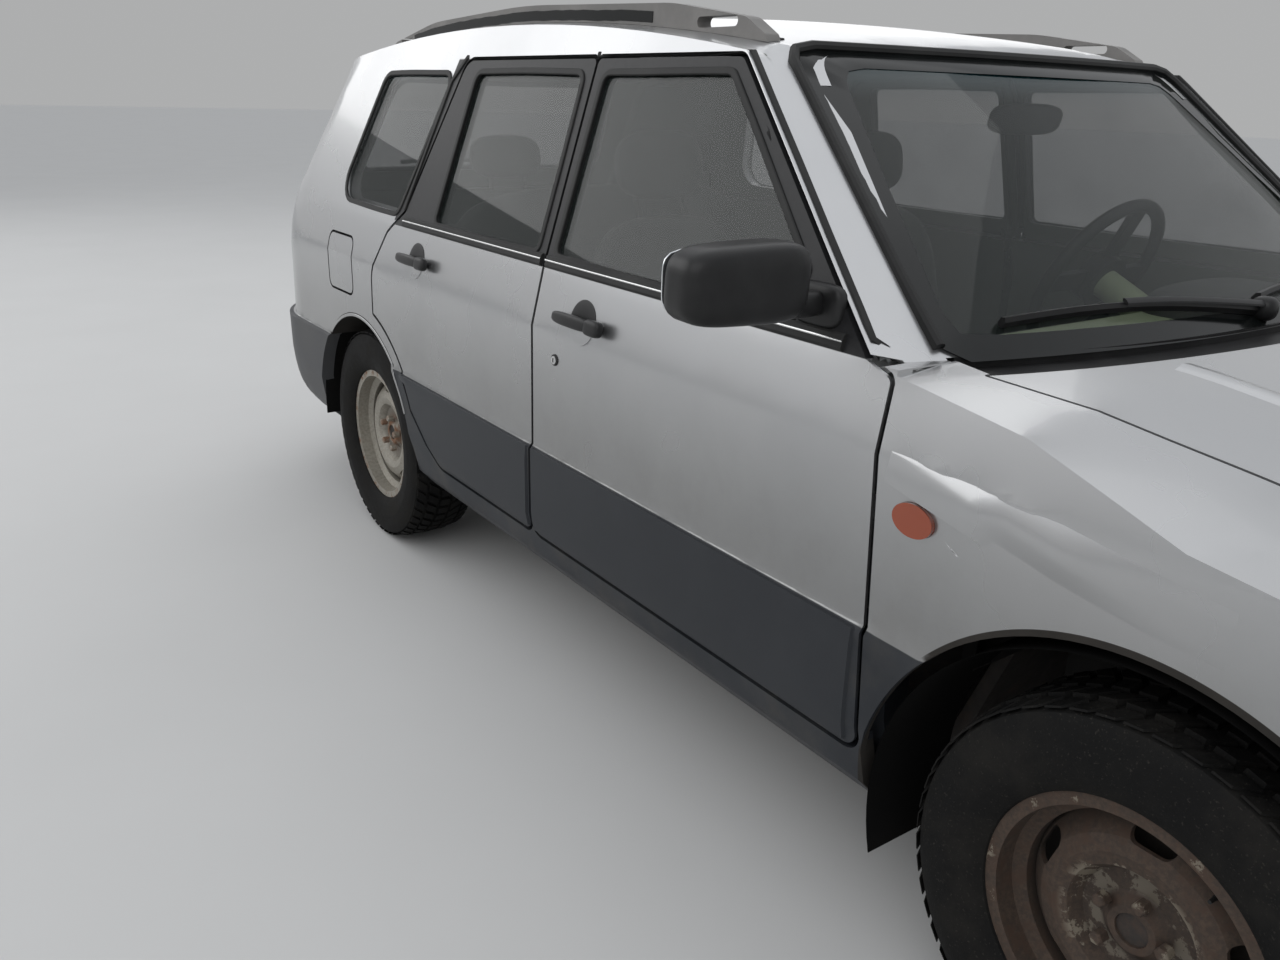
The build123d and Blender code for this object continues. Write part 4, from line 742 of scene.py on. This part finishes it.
def camera():
    yaw, pitch, roll = 0.617, 0.352, 0.029
    view = Vector((math.sin(yaw) * math.cos(pitch), math.cos(yaw) * math.cos(pitch), -math.sin(pitch)))
    right = Vector((math.cos(yaw), -math.sin(yaw), 0))
    up = right.cross(view)
    right, up = right * math.cos(roll) + up * math.sin(roll), up * math.cos(roll) - right * math.sin(roll)
    data = bpy.data.cameras.new("camera")
    data.sensor_width = 36.0
    focal, width = 1052.4, 1280
    data.lens = data.sensor_width * focal / width
    data.clip_start = 0.05
    made = bpy.data.objects.new("camera", data)
    turn = Matrix((right, up, -view)).transposed().to_4x4()
    made.matrix_world = Matrix.Translation((-1.96565, -1.85623, 1.35862)) @ turn
    bpy.context.scene.collection.objects.link(made)
    bpy.context.scene.camera = made


camera()

skins = {
    tag: {
        "frame": Skin([f"side_frame_{tag}"]),
        "front_door": Skin([f"front_door_{tag}"]),
        "rear_door": Skin([f"rear_door_{tag}"]),
        "wing": Skin(["front_wings"]),
    }
    for tag, _ in SIDES
}


# Panels whose CAD nodes get finer copies

soften("front_wings", 55.0, 0.022, 60)
bonnet_panel = soften("bonnet", 30.0, 0.026, 30)
for name in ("roof_panel", "tailgate", "front_bumper", "rear_bumper"):
    soften(name)
for tag, _ in SIDES:
    for name in (f"side_frame_{tag}", f"front_door_{tag}", f"rear_door_{tag}"):
        soften(name)


# Seals and mouldings of the windows

def window_seals():
    """Rubber round each side window, where the frame meets the pane."""
    rows = (
        ("front_window_seal", FRONT_WINDOW, "front_door", "front_door_{}_leaf"),
        ("rear_window_seal", REAR_WINDOW, "rear_door", "rear_door_{}_leaf"),
        ("quarter_window_seal", QUARTER_WINDOW, "frame", "body"),
    )
    for tag, side in SIDES:
        for name, outline, part, body in rows:
            middle = Vector((sum(r[0] for r in outline), sum(r[1] for r in outline))) / len(outline)
            path = []
            for y, z in dense(rounded(outline), 0.03):
                out = (Vector((y, z)) - middle).normalized() * 0.006
                found = skins[tag][part].side(side, y + out.x, z + out.y)
                if found:
                    path.append(found)
            piece(f"{name}_{tag}", body.format(tag), "seal", sweep(path, slab(0.014, 0.0035), True))


def belt_mouldings():
    """Black strips with a bright line below the door windows."""
    rows = (
        ("front_belt_moulding", "front_door", -0.800, 0.119),
        ("rear_belt_moulding", "rear_door", 0.140, 0.885),
    )
    for tag, side in SIDES:
        for name, part, start, end in rows:
            body = f"{part}_{tag}_leaf"
            places = [(side, start + (end - start) * k / 26, 1.0165) for k in range(27)]
            path = trace(skins[tag][part].side, places)
            line = [(place + normal * 0.0068 + Vector((0, 0, 0.001)), normal) for place, normal in path]
            piece(f"{name}_{tag}", body, "seal", sweep(path, slab(0.027, 0.0065)))
            piece(f"{name}_line_{tag}", body, "bright", sweep(line, oval(0.0045, 0.003)))


def frame_seals():
    """Rubber lip along the upper outline of the doors, on the side frame."""
    line = [(-.826, 1.008), (-.348, 1.4315), (.130, 1.4315), (.742, 1.4315), (.800, 1.375), (.902, 1.045)]
    for tag, side in SIDES:
        places = [(side, y, z) for y, z in dense(line, 0.03, False)]
        path = [pair for pair in trace(skins[tag]["frame"].side, places) if abs(pair[0].x) > 0.66]
        piece(f"door_frame_seal_{tag}", "body", "seal", sweep(path, slab(0.012, 0.004)))


def rear_glass_edge():
    """Places just inside the rear glass's edge, seen from behind."""
    middle = Vector((0, sum(r[1] for r in REAR_GLASS) / len(REAR_GLASS)))
    places = []
    for place in dense(rounded(REAR_GLASS), 0.03):
        point = Vector(place)
        point += (middle - point).normalized() * 0.006
        places.append((point.x, point.y))
    return trace(Skin(["tailgate_glass"]).rear, places)


def screen_mouldings():
    """Black border and moulding of the windscreen, and the moulding of the rear glass."""
    whole = Skin(["fixed_glass", "side_frame_right", "side_frame_left", "roof_panel"])
    glass_skin = Skin(["fixed_glass"])
    tests = [(x, z) for x in (0.0, 0.25, 0.45) for z in (1.08, 1.20, 1.34)]
    table = [(1.0, z, x * x) for x, z in tests]
    reach = [glass_skin.front(x, z)[0].y for x, z in tests]
    fit = numpy.linalg.lstsq(numpy.array(table), numpy.array(reach), rcond=None)[0]

    def place(x, z, lift):
        y = float(fit[0] + fit[1] * z + fit[2] * x * x)
        found = whole.front(x, z)
        if found and abs(found[0].y - y) < 0.03:
            y = min(y, found[0].y)
        return Vector((x, y - lift, z))

    def loop(rows):
        """Points of an outline at even angles round the pane's middle."""
        middle = Vector((0, 1.22))
        line = [Vector(p) - middle for p in dense(rounded(rows), 0.003)]
        count = 160
        made = []
        for k in range(count):
            aim = Vector((math.cos(2 * math.pi * k / count), math.sin(2 * math.pi * k / count)))
            made.append(max(line, key=lambda p: p.normalized().dot(aim)) + middle)
        return made

    outer = loop(SCREEN_EDGE)
    inner = loop([(x - math.copysign(0.030, x), z + (0.024 if z < 1.2 else -0.024), r) for x, z, r in SCREEN])
    steps = ((outer, -0.006), (outer, 0.003), (inner, 0.002))
    rows = [[place(p.x, p.y, lift) for p in line] for line, lift in steps]
    verts = [p for row in rows for p in row]
    faces = grid_faces(len(rows), len(outer), wrap_ring=True)
    piece("windscreen_border", "body", "frit", (verts, faces), crease=60.0)
    facing = Vector((0, -0.78, 0.62)).normalized()
    path = [(p, facing) for p, q in zip(rows[1], outer) if q.y > 1.012]
    start = max(range(len(path)), key=lambda i: (path[i][0] - path[i - 1][0]).length)
    path = path[start:] + path[:start]
    shape = sweep(
        path, [(-.009, -.006), (-.009, .004), (-.004, .008), (.004, .008), (.009, .004), (.009, -.006)]
    )
    piece("windscreen_moulding", "body", "seal", shape)
    shape = sweep(rear_glass_edge(), slab(0.024, 0.008), True)
    piece("rear_glass_moulding", "tailgate_lid", "seal", shape)


window_seals()
belt_mouldings()
frame_seals()
screen_mouldings()


# Lower band of the doors

def door_foot(y):
    """Lower edge of the rear door, with its cut for the wheel arch."""
    low = 0.402
    if y > 0.62:
        low = max(low, 0.402 + (y - 0.62) * 0.72)
    reach = 0.440 ** 2 - (y - AXLES["rear"]) ** 2
    if reach > 0:
        low = max(low, AXLE_Z + 0.004 + math.sqrt(reach))
    return low


def nearby(skin, side, y, z):
    """The skin at a place, or just inside its edge where the place is off it."""
    for shift in (0.0, 0.006, -0.006, 0.012, -0.012, 0.024, -0.024):
        for along in (0.0, -0.008, 0.008, -0.02):
            found = skin.side(side, y + along, z + shift)
            if found:
                return found
    raise ValueError(f"no skin near {y:.3f}, {z:.3f}")


def band_patch(name, body, skin, side, ends, low, top, lift=0.005, columns=30, rows=8):
    """Thin moulded panel over the body's skin between two edges, its rim let down."""
    verts = []
    for i in range(columns + 3):
        share = min(max((i - 1) / columns, 0), 1)
        y = ends[0] + (ends[1] - ends[0]) * share
        y += -0.004 if i == 0 else 0.004 if i == columns + 2 else 0
        edge = i in (0, columns + 2)
        for j in range(rows + 3):
            part = min(max((j - 1) / rows, 0), 1)
            z = low(y) + (top(y) - low(y)) * part
            z += -0.004 if j == 0 else 0.004 if j == rows + 2 else 0
            place, normal = nearby(skin, side, min(max(y, ends[0]), ends[1]), z)
            rim = edge or j in (0, rows + 2)
            flat = Vector((normal.x, 0, normal.z)).normalized()
            verts.append(Vector((place.x, y, z)) + flat * (-0.001 if rim else lift))
    faces = grid_faces(columns + 3, rows + 3)
    piece(name, body, "band", (verts, faces))


def bands():
    for tag, side in SIDES:
        front, rear = skins[tag]["front_door"], skins[tag]["rear_door"]
        band_patch(f"front_door_band_{tag}", f"front_door_{tag}_leaf", front, side, (-0.878, 0.116),
                   lambda y: 0.405, lambda y: 0.600)
        band_patch(f"rear_door_band_{tag}", f"rear_door_{tag}_leaf", rear, side, (0.143, 0.880),
                   lambda y: min(door_foot(y) + 0.006, 0.590), lambda y: 0.600, 0.005, 26, 6)


bands()


# Tyres with tread

TREAD_R = 0.330
TYRE_PROFILE = [
    (-0.076, 0.201), (-0.084, 0.204), (-0.092, 0.214), (-0.0985, 0.233), (-0.1018, 0.256),
    (-0.1024, 0.262), (-0.1020, 0.266),
    (-0.1016, 0.284), (-0.098, 0.302), (-0.0925, 0.3135), (-0.082, 0.3195), (-0.050, 0.3215), (0.0, 0.3222),
]


def tyre(row, tag, side):
    """Winter tyre: carcass, ribs on its side and five rows of slanted blocks."""
    profile = TYRE_PROFILE + [(-x, r) for x, r in reversed(TYRE_PROFILE[:-1])]
    y0 = AXLES[row]
    verts, faces = revolve([(TRACK + x, r) for x, r in profile], y0, AXLE_Z, side, 96)
    rows = [
        (-0.0785, 0.029, 0.3195, 0.3265), (-0.040, 0.033, 0.3215, 0.3295), (0.0, 0.031, 0.322, TREAD_R),
        (0.040, 0.033, 0.3215, 0.3295), (0.0785, 0.029, 0.3195, 0.3265),
    ]
    block_faces = ((4, 5, 6, 7), (0, 1, 5, 4), (1, 2, 6, 5), (2, 3, 7, 6), (3, 0, 4, 7))
    blocks = 54
    for index, (x, width, low, high) in enumerate(rows):
        for k in range(blocks):
            middle = 2 * math.pi * (k + 0.5 * (index % 2)) / blocks
            span = 2 * math.pi / blocks * 0.36
            skew = 0.30 * (2 * math.pi / blocks) * (1 if index < 2 else -1 if index > 2 else 0)
            start = len(verts)
            for radius, shrink in ((low, 1.0), (high, 0.92)):
                for a, b in ((-1, -1), (1, -1), (1, 1), (-1, 1)):
                    across = x + a * width / 2 * shrink
                    outer = radius - (0.0042 if abs(across) > 0.088 and radius == high else 0)
                    turn = middle + b * span * shrink + a * skew
                    y, z = y0 + outer * math.cos(turn), AXLE_Z + outer * math.sin(turn)
                    verts.append((side * (TRACK + across), y, z))
            faces += [tuple(start + i for i in f) for f in block_faces]
    made = piece(
        f"{row}_tread_tyre_{tag}", f"{row}_{tag}_road_wheel", "tyre", (verts, faces),
        crease=30.0
    )
    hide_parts(f"{row}_tyre_{tag}")


def wheel_parts(row, tag, side):
    """Wheel nuts and valve."""
    y0 = AXLES[row]
    body = f"{row}_{tag}_road_wheel"
    face_x = 0.7775
    nuts = []
    for k in range(5):
        turn = 2 * math.pi * k / 5 + 0.5
        cy, cz = y0 + 0.050 * math.cos(turn), AXLE_Z + 0.050 * math.sin(turn)
        verts = []
        for x, radius in ((face_x - 0.006, 0.0105), (face_x + 0.010, 0.0105), (face_x + 0.013, 0.0080)):
            for i in range(6):
                spin = math.pi / 3 * i
                verts.append((side * x, cy + radius * math.cos(spin), cz + radius * math.sin(spin)))
        nuts.append((verts, grid_faces(3, 6, wrap_ring=True) + [tuple(range(12, 18))]))
    piece(
        f"{row}_wheel_nuts_{tag}", body, f"{row}_rim", merged(nuts), smooth=False,
        bevel=0.0008
    )
    stem = [(0.000, 0.0), (0.000, 0.004), (0.022, 0.0036), (0.024, 0.0028), (0.034, 0.0026), (0.034, 0.0)]
    cy, cz = y0 + 0.148 * math.cos(2.2), AXLE_Z + 0.148 * math.sin(2.2)
    shape = revolve([(0.752 + x, r) for x, r in stem], cy, cz, side, 12)
    piece(f"{row}_valve_{tag}", body, "seal", shape)


for tag, side in SIDES:
    for row in AXLES:
        tyre(row, tag, side)
        wheel_parts(row, tag, side)


# Mirrors, handles and locks of the doors

def mirrors():
    for tag, side in SIDES:
        body = f"front_door_{tag}_leaf"

        def swell(p):
            p.y *= 0.90 if p.y > 0 else 1.0
            p.z *= 1.0 - 0.05 * (1 + side * p.x)
            p.x += -side * 0.03 * p.z
            return p

        turn = Matrix.Rotation(math.radians(side * 4.0), 3, "Z")
        housing = pod((side * 0.984, -0.700, 1.108), (0.110, 0.050, 0.061), 4.2, 14, turn, swell)
        neck = pod((side * 0.858, -0.694, 1.066), (0.050, 0.022, 0.020), 3.5, 8)
        foot = pod((side * 0.812, -0.694, 1.062), (0.014, 0.052, 0.034), 4.0, 8)
        piece(f"mirror_housing_{tag}", body, "black", merged([housing, neck, foot]), crease=60.0)
        shape = pod((side * 0.988, -0.6555, 1.107), (0.094, 0.0022, 0.048), 5.0, 10, turn)
        piece(f"mirror_glass_{tag}", body, "mirror", shape, crease=60.0)
        for row, y, z in (("front", -0.063, 0.915), ("rear", 0.768, 0.925)):
            handle(row, tag, side, y, z)
        place, normal = skins[tag]["front_door"].side(side, 0.031, 0.823)
        piece(f"lock_ring_{tag}", body, "seal", disc(place, normal, 0.0125, 0.003, 20, dome=0.001))
        piece(f"lock_{tag}", body, "bright", disc(place, normal, 0.0095, 0.0045, 20, dome=0.0005))
        # painted shade: a dark sliver on the lock stands for the shade inside its key slot
        shape = pod(place + normal * 0.0052, (0.0006, 0.0012, 0.005), 6.0, 2)
        piece(f"lock_slot_painted_shade_{tag}", body, "seal", shape)


def handle(row, tag, side, y, z):
    """Pull handle: cup behind it, its upper half black as painted shade, two feet, the grip and its thicker
    front end.
    """
    name, body = f"{row}_handle_{tag}", f"{row}_door_{tag}_leaf"
    place, normal = skins[tag][f"{row}_door"].side(side, y, z + 0.004)
    # painted shade: a black half-disc stands for the shade in the upper half of the handle's recess
    piece(f"{name}_cup_painted_shade", body, "black", disc(place, normal, 0.047, 0.0018, 20, span=(0.0, 0.5)))
    shape = disc(place, normal, 0.047, 0.0018, 20, span=(0.5, 1.0))
    piece(f"{name}_cup_foot", body, "paint", shape)
    out = normal * 0.019
    turn = Matrix.Rotation(math.atan2(normal.z, abs(normal.x)) * side * -1, 3, "Y")

    def bow(p):
        p.x += side * 0.35 * (1 - p.y * p.y)
        return p

    grip = pod(place + out + Vector((0, 0.012, -0.002)), (0.0075, 0.076, 0.0135), 3.4, 12, turn, bow)
    end = pod(place + out + Vector((0, -0.068, -0.002)), (0.011, 0.027, 0.0165), 3.6, 10, turn)
    feet = [
        pod(place + normal * 0.008 + Vector((0, shift, -0.002)), (0.010, 0.012, 0.010), 3.0, 4)
        for shift in (-0.068, 0.074)
    ]
    made = piece(name, body, "black", merged([grip, end] + feet), crease=60.0)
    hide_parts(f"{row}_door_fittings_{tag}")


mirrors()


# Lips of the rear wheel arches, painted shade of the rail grooves, inner arches, creases of wings and bonnet

def arch_lips():
    for tag, side in SIDES:
        places = []
        for k in range(49):
            turn = math.radians(-8 + 162 * k / 48)
            places.append((side, AXLES["rear"] + 0.381 * math.cos(turn), 0.326 + 0.381 * math.sin(turn)))
        path = [pair for pair in trace(skins[tag]["frame"].side, places) if abs(pair[0].x) > 0.80]
        piece(f"rear_arch_lip_{tag}", "body", "paint", sweep(path, slab(0.009, 0.0022)))


def rail_slots():
    """Near-black strip along the outer face of each roof rail: painted shade of its groove."""
    skin = Skin(["roof_rails"])
    for tag, side in SIDES:
        path = []
        for k in range(41):
            y = 0.06 + 1.20 * k / 40
            found = trace(skin.side, [(side, y, 1.430 + 0.002 * i) for i in range(62)])
            if len(found) > 4:
                path.append(found[int(len(found) * 0.40)])
        # painted shade: a near-black strip, 1.2 mm proud, stands for the shade inside each rail's groove
        shape = sweep(path, [(-.011, .000), (-.010, .0012), (.010, .0012), (.011, .000)])
        piece(f"rail_groove_painted_shade_{tag}", "body", "frit", shape)


def liners():
    """Dark inner arches over the wheels."""
    rows = (("front", 0.402, -16, 170, 0.660), ("rear", 0.376, -4, 182, 0.640))
    for tag, side in SIDES:
        for row, radius, start, end, deep in rows:
            verts = []
            count = 48
            for k in range(count + 1):
                turn = math.radians(start + (end - start) * k / count)
                y, z = AXLES[row] + radius * math.cos(turn), AXLE_Z + 0.004 + radius * math.sin(turn)
                for x in (0.852, 0.5 * (0.852 + deep), deep):
                    verts.append((side * x, y, z))
            faces = grid_faces(count + 1, 3)
            piece(f"{row}_arch_liner_{tag}", "body", "liner", (verts, faces))


def creases():
    for tag, side in SIDES:
        places = [(side, -0.905 - 0.50 * k / 24, 0.893 - 0.036 * k / 24) for k in range(25)]
        path = trace(skins[tag]["wing"].side, places)
        verts = []
        for i, (place, normal) in enumerate(path):
            share = min(1.0, i / 20.0)
            fade = min(1.0, (len(path) - 1 - i) / 10.0) * share * (2 - share)
            width = 0.006 + 0.042 * share
            rise = 0.011 * fade
            profile = [
                (-width - 0.040, -0.002), (-width - 0.024, 0.30 * rise), (-width - 0.010, 0.80 * rise),
                (-width, rise), (-0.5 * width, 0.66 * rise), (-0.002, 0.0015 * fade), (0.006, -0.002),
            ]
            if side > 0:
                profile = [(-a, b) for a, b in reversed(profile)]
            up = Vector((0, -0.03, 1)).cross(normal).cross(normal).normalized()
            up = -up if up.z < 0 else up
            for a, b in profile:
                verts.append(place + up * (a if side < 0 else -a) + normal * (b * fade if b > 0 else b))
        faces = grid_faces(len(path), 7)
        piece(f"wing_crease_{tag}", "body", "paint", (verts, faces), crease=80.0)
    skin = Skin([], [bonnet_panel])
    for tag, side in SIDES:
        places = [(side * (0.42 - 0.10 * k / 24), -1.02 - 1.05 * k / 24) for k in range(25)]
        path = trace(skin.top, places)
        shape = sweep(
            path,
            [(-.035, -.002), (-.015, .002), (-.003, .005), (.003, .005), (.015, .002), (.035, -.002)]
        )
        piece(f"bonnet_crease_{tag}", "bonnet_lid", "paint", shape, crease=80.0)


rail_slots()
arch_lips()
liners()
creases()


# Wipers

def wipers():
    skin = Skin(["fixed_glass"])
    rows = (("right", 0.02, -0.585), ("left", 0.56, 0.04))
    for tag, foot, tip in rows:
        arm, blade = [], []
        for k in range(13):
            share = k / 12
            x = foot + (tip - foot) * share
            z = 1.018 + 0.020 * math.sin(math.pi * share * 0.9) + 0.012 * share
            found = skin.front(x, z)
            if found:
                place, normal = found
                blade.append((place + normal * 0.010, normal))
                if share < 0.62:
                    arm.append((place + normal * (0.026 - 0.008 * share), normal))
        edge = [(-.006, -.008), (-.006, .004), (0, .010), (.006, .004), (.006, -.008), (0, -.010)]
        parts = [sweep(blade, edge), sweep(arm, oval(0.016, 0.007))]
        place, normal = arm[0]
        parts.append(pod(place - normal * 0.012, (0.022, 0.022, 0.022), 2.6, 8))
        piece(f"wiper_{tag}", "body", "black", merged(parts))
    places = [(0.02 - 0.36 * k / 8, 1.082 + 0.01 * math.sin(k / 8 * 3)) for k in range(9)]
    found = trace(Skin(["tailgate_glass"]).rear, places)
    path = [(place + normal * 0.012, normal) for place, normal in found]
    parts = [sweep(path, oval(0.014, 0.016))]
    parts.append(pod(path[0][0] + Vector((0.01, -0.004, -0.012)), (0.030, 0.018, 0.030), 2.8, 8))
    piece("rear_wiper", "tailgate_lid", "black", merged(parts))


wipers()


# Seats and other things in the cabin

def seat_part(name, centre, half, turn, power=3.6, bolster=0.0, seams=(), cuts=18):
    """One cushion: crowned, drawn in at its seams, with raised sides."""
    def shape(p):
        across, along = p.x, p.z
        if bolster and abs(across) > 0.62:
            p.y -= bolster * (abs(across) - 0.62) / 0.38 * (1 if p.y < 0 else 0)
        if p.y < 0:
            p.y *= 1.0 + 0.06 * (1 - across * across)
            for line in seams:
                value = across if line[0] == "x" else along
                p.y += 0.05 * math.exp(-((value - line[1]) / 0.035) ** 2)
        return p

    form = pod(centre, half, power, cuts, turn, shape)
    made = piece(name, "body", "seat", form, subdivide=1)
    return made


def seats():
    """Front seats and the rear bench. A cushion's worn face is its -Y side, laid back."""
    flat = Matrix.Rotation(math.radians(-86.0), 3, "X")
    back = Matrix.Rotation(math.radians(-15.0), 3, "X")
    head = Matrix.Rotation(math.radians(-8.0), 3, "X")
    lines = (("x", -0.56), ("x", 0.56), ("z", 0.25))

    def posts(x, gap, y, lean, rise):
        """The two thin posts of a head rest."""
        made = []
        for shift in (-gap, gap):
            places = [Vector((x + shift, y + lean * k, 1.06 + rise * k)) for k in range(3)]
            made.append(sweep([(place, Vector((0, -1, 0))) for place in places], oval(0.012, 0.012)))
        return made

    for tag, side in SIDES:
        x = side * 0.370
        centre, half = (x, -0.068, 0.512), (0.224, 0.072, 0.262)
        made = seat_part(f"front_cushion_{tag}", centre, half, flat, bolster=0.25, seams=lines)
        if tag == "right":
            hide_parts("front_seats")
        centre, half = (x, 0.256, 0.775), (0.220, 0.060, 0.305)
        seat_part(f"front_back_{tag}", centre, half, back, bolster=0.3, seams=lines)
        centre, half = (x, 0.350, 1.192), (0.124, 0.044, 0.084)
        seat_part(f"front_headrest_{tag}", centre, half, head, power=2.9)
        metal_parts = posts(x, 0.07, 0.322, 0.018, 0.035)
        for shift in (-0.18, 0.18):
            metal_parts.append(pod((x + shift, -0.04, 0.392), (0.020, 0.24, 0.078), 8.0, 4))
        piece(f"front_seat_metal_{tag}", "body", "dark_trim", merged(metal_parts))
        centre, half = (x, 1.158, 1.164), (0.118, 0.036, 0.064)
        seat_part(f"rear_headrest_{tag}", centre, half, head, power=2.9)
        metal_parts = posts(x, 0.06, 1.138, 0.006, 0.03)
        piece(f"rear_headrest_metal_{tag}", "body", "dark_trim", merged(metal_parts))
    lines = (("x", -0.34), ("x", 0.34), ("z", 0.45))
    made = seat_part("rear_cushion", (0, 0.790, 0.528), (0.585, 0.080, 0.226), flat, seams=lines, cuts=24)
    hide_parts("rear_seat")
    turn = Matrix.Rotation(math.radians(-14.5), 3, "X")
    seat_part("rear_back", (0, 1.085, 0.828), (0.582, 0.058, 0.252), turn, seams=lines, cuts=24)


def cabin():
    """Interior mirror, sun visors, instrument hood, vents and gear lever."""
    def rod(y, lean, z, rise, count, width):
        path = [(Vector((0, y + lean * k, z + rise * k)), Vector((1, 0, 0))) for k in range(count)]
        return sweep(path, oval(width, width))

    tilt = Matrix.Rotation(math.radians(12), 3, "X")
    mirror = pod((0.0, -0.425, 1.330), (0.115, 0.014, 0.031), 3.4, 10, tilt)
    stalk = rod(-0.405, 0.012, 1.345, 0.022, 4, 0.012)
    piece("interior_mirror", "body", "wheel_grip", merged([mirror, stalk]), crease=60.0)
    tilt = Matrix.Rotation(math.radians(9), 3, "X")
    parts = [pod((side * 0.30, -0.215, 1.432), (0.175, 0.075, 0.009), 5.0, 8, tilt) for side in (-1, 1)]
    piece("sun_visors", "body", "trim", merged(parts), crease=60.0)
    hood = pod((0.340, -0.735, 0.965), (0.205, 0.105, 0.052), 3.0, 12)
    piece("instrument_hood", "body", "dark_trim", hood, crease=60.0)
    parts = [pod((x, -0.617, 0.888), (0.062, 0.010, 0.026), 5.0, 6) for x in (-0.58, -0.10, 0.10, 0.60)]
    piece("dash_vents", "body", "wheel_grip", merged(parts), crease=60.0)
    lever = rod(-0.300, 0.006, 0.500, 0.028, 6, 0.014)
    knob = pod((0, -0.268, 0.655), (0.022, 0.024, 0.028), 2.5, 8)
    piece("gear_lever", "body", "wheel_grip", merged([lever, knob]), crease=60.0)


seats()
cabin()


# Details of the tailgate, roof and rear bumper

def ends():
    """Blank rear plate, its lamp bar, roof ditch strips and rear reflectors."""
    skin = Skin(["tailgate"])
    face = max(skin.rear(x, z)[0].y for x in (-0.25, 0.0, 0.25) for z in (0.745, 0.835))
    shape = pod((0, face + 0.0025, 0.790), (0.260, 0.0018, 0.055), 9.0, 8)
    piece("rear_plate", "tailgate_lid", "plate", shape, crease=40.0)
    place, _ = skin.rear(0.0, 0.885)
    shape = pod(place + Vector((0, 0.006, 0)), (0.300, 0.016, 0.020), 5.0, 12)
    piece("plate_lamp_bar", "tailgate_lid", "paint", shape, crease=50.0)
    skin = Skin(["side_frame_right", "side_frame_left", "roof_panel"])
    for tag, side in SIDES:
        path = trace(skin.top, [(side * 0.560, -0.285 + 1.90 * k / 40) for k in range(41)])
        piece(f"roof_ditch_{tag}", "body", "seal", sweep(path, slab(0.012, 0.0025)))
    skin = Skin(["rear_bumper"])
    for tag, side in SIDES:
        place, normal = skin.rear(side * 0.64, 0.50)
        turn = Matrix.Rotation(math.atan2(normal.x, normal.y) * -1, 3, "Z")
        shape = pod(place + normal * 0.001, (0.075, 0.004, 0.022), 5.0, 8, turn)
        piece(f"rear_reflector_{tag}", "body", "tail", shape, crease=50.0)


ends()


# Stage and light

def stage():
    g = Graph("floor", Roughness=0.85)
    g.set("Base Color", g.mix(g.noise(1.5, 3.0), (0.56, 0.56, 0.555), (0.60, 0.60, 0.595)))
    mesh = bpy.data.meshes.new("floor")
    reach = 60.0
    corners = [(-reach, -reach, 0), (reach, -reach, 0), (reach, reach, 0), (-reach, reach, 0)]
    mesh.from_pydata(corners, [], [(0, 1, 2, 3)])
    mesh.materials.append(g.material)
    floor = bpy.data.objects.new("floor", mesh)
    bpy.context.scene.collection.objects.link(floor)
    world = bpy.data.worlds.new("world")
    bpy.context.scene.world = world
    world.use_nodes = True
    tree = world.node_tree
    back = tree.nodes["Background"]
    place = tree.nodes.new("ShaderNodeTexCoord")
    split = tree.nodes.new("ShaderNodeSeparateXYZ")
    ramp = tree.nodes.new("ShaderNodeValToRGB")
    tree.links.new(place.outputs["Generated"], split.inputs[0])
    tree.links.new(split.outputs[2], ramp.inputs[0])
    tree.links.new(ramp.outputs[0], back.inputs[0])
    ramp.color_ramp.elements[0].position = 0.0
    ramp.color_ramp.elements[0].color = (0.60, 0.605, 0.61, 1)
    ramp.color_ramp.elements[1].position = 0.75
    ramp.color_ramp.elements[1].color = (0.74, 0.76, 0.79, 1)
    back.inputs[1].default_value = 0.88
    seen = tree.nodes.new("ShaderNodeBackground")
    seen.inputs[0].default_value = (0.420, 0.424, 0.426, 1)
    path = tree.nodes.new("ShaderNodeLightPath")
    choose = tree.nodes.new("ShaderNodeMixShader")
    tree.links.new(path.outputs["Is Camera Ray"], choose.inputs[0])
    tree.links.new(back.outputs[0], choose.inputs[1])
    tree.links.new(seen.outputs[0], choose.inputs[2])
    tree.links.new(choose.outputs[0], tree.nodes["World Output"].inputs[0])


def lamp(name, place, target, size, power):
    data = bpy.data.lights.new(name, "AREA")
    data.shape, data.size, data.size_y, data.energy = "RECTANGLE", size[0], size[1], power
    made = bpy.data.objects.new(name, data)
    way = Vector(target) - Vector(place)
    made.matrix_world = Matrix.Translation(place) @ way.to_track_quat("-Z", "Y").to_matrix().to_4x4()
    bpy.context.scene.collection.objects.link(made)


stage()
lamp("key", (-6.5, -3.0, 6.0), (0, 0, 0.7), (9.0, 6.0), 170.0)
lamp("side", (-6.0, 7.6, 5.4), (-0.6, 0, 1.0), (10.0, 5.4), 215.0)
lamp("top", (0.5, 0.5, 7.0), (0, 0, 0.8), (8.0, 7.0), 60.0)
lamp("rear", (5.0, 5.0, 4.5), (0, 0, 0.7), (5.0, 5.0), 60.0)

scene = bpy.context.scene
scene.view_settings.view_transform = "Standard"
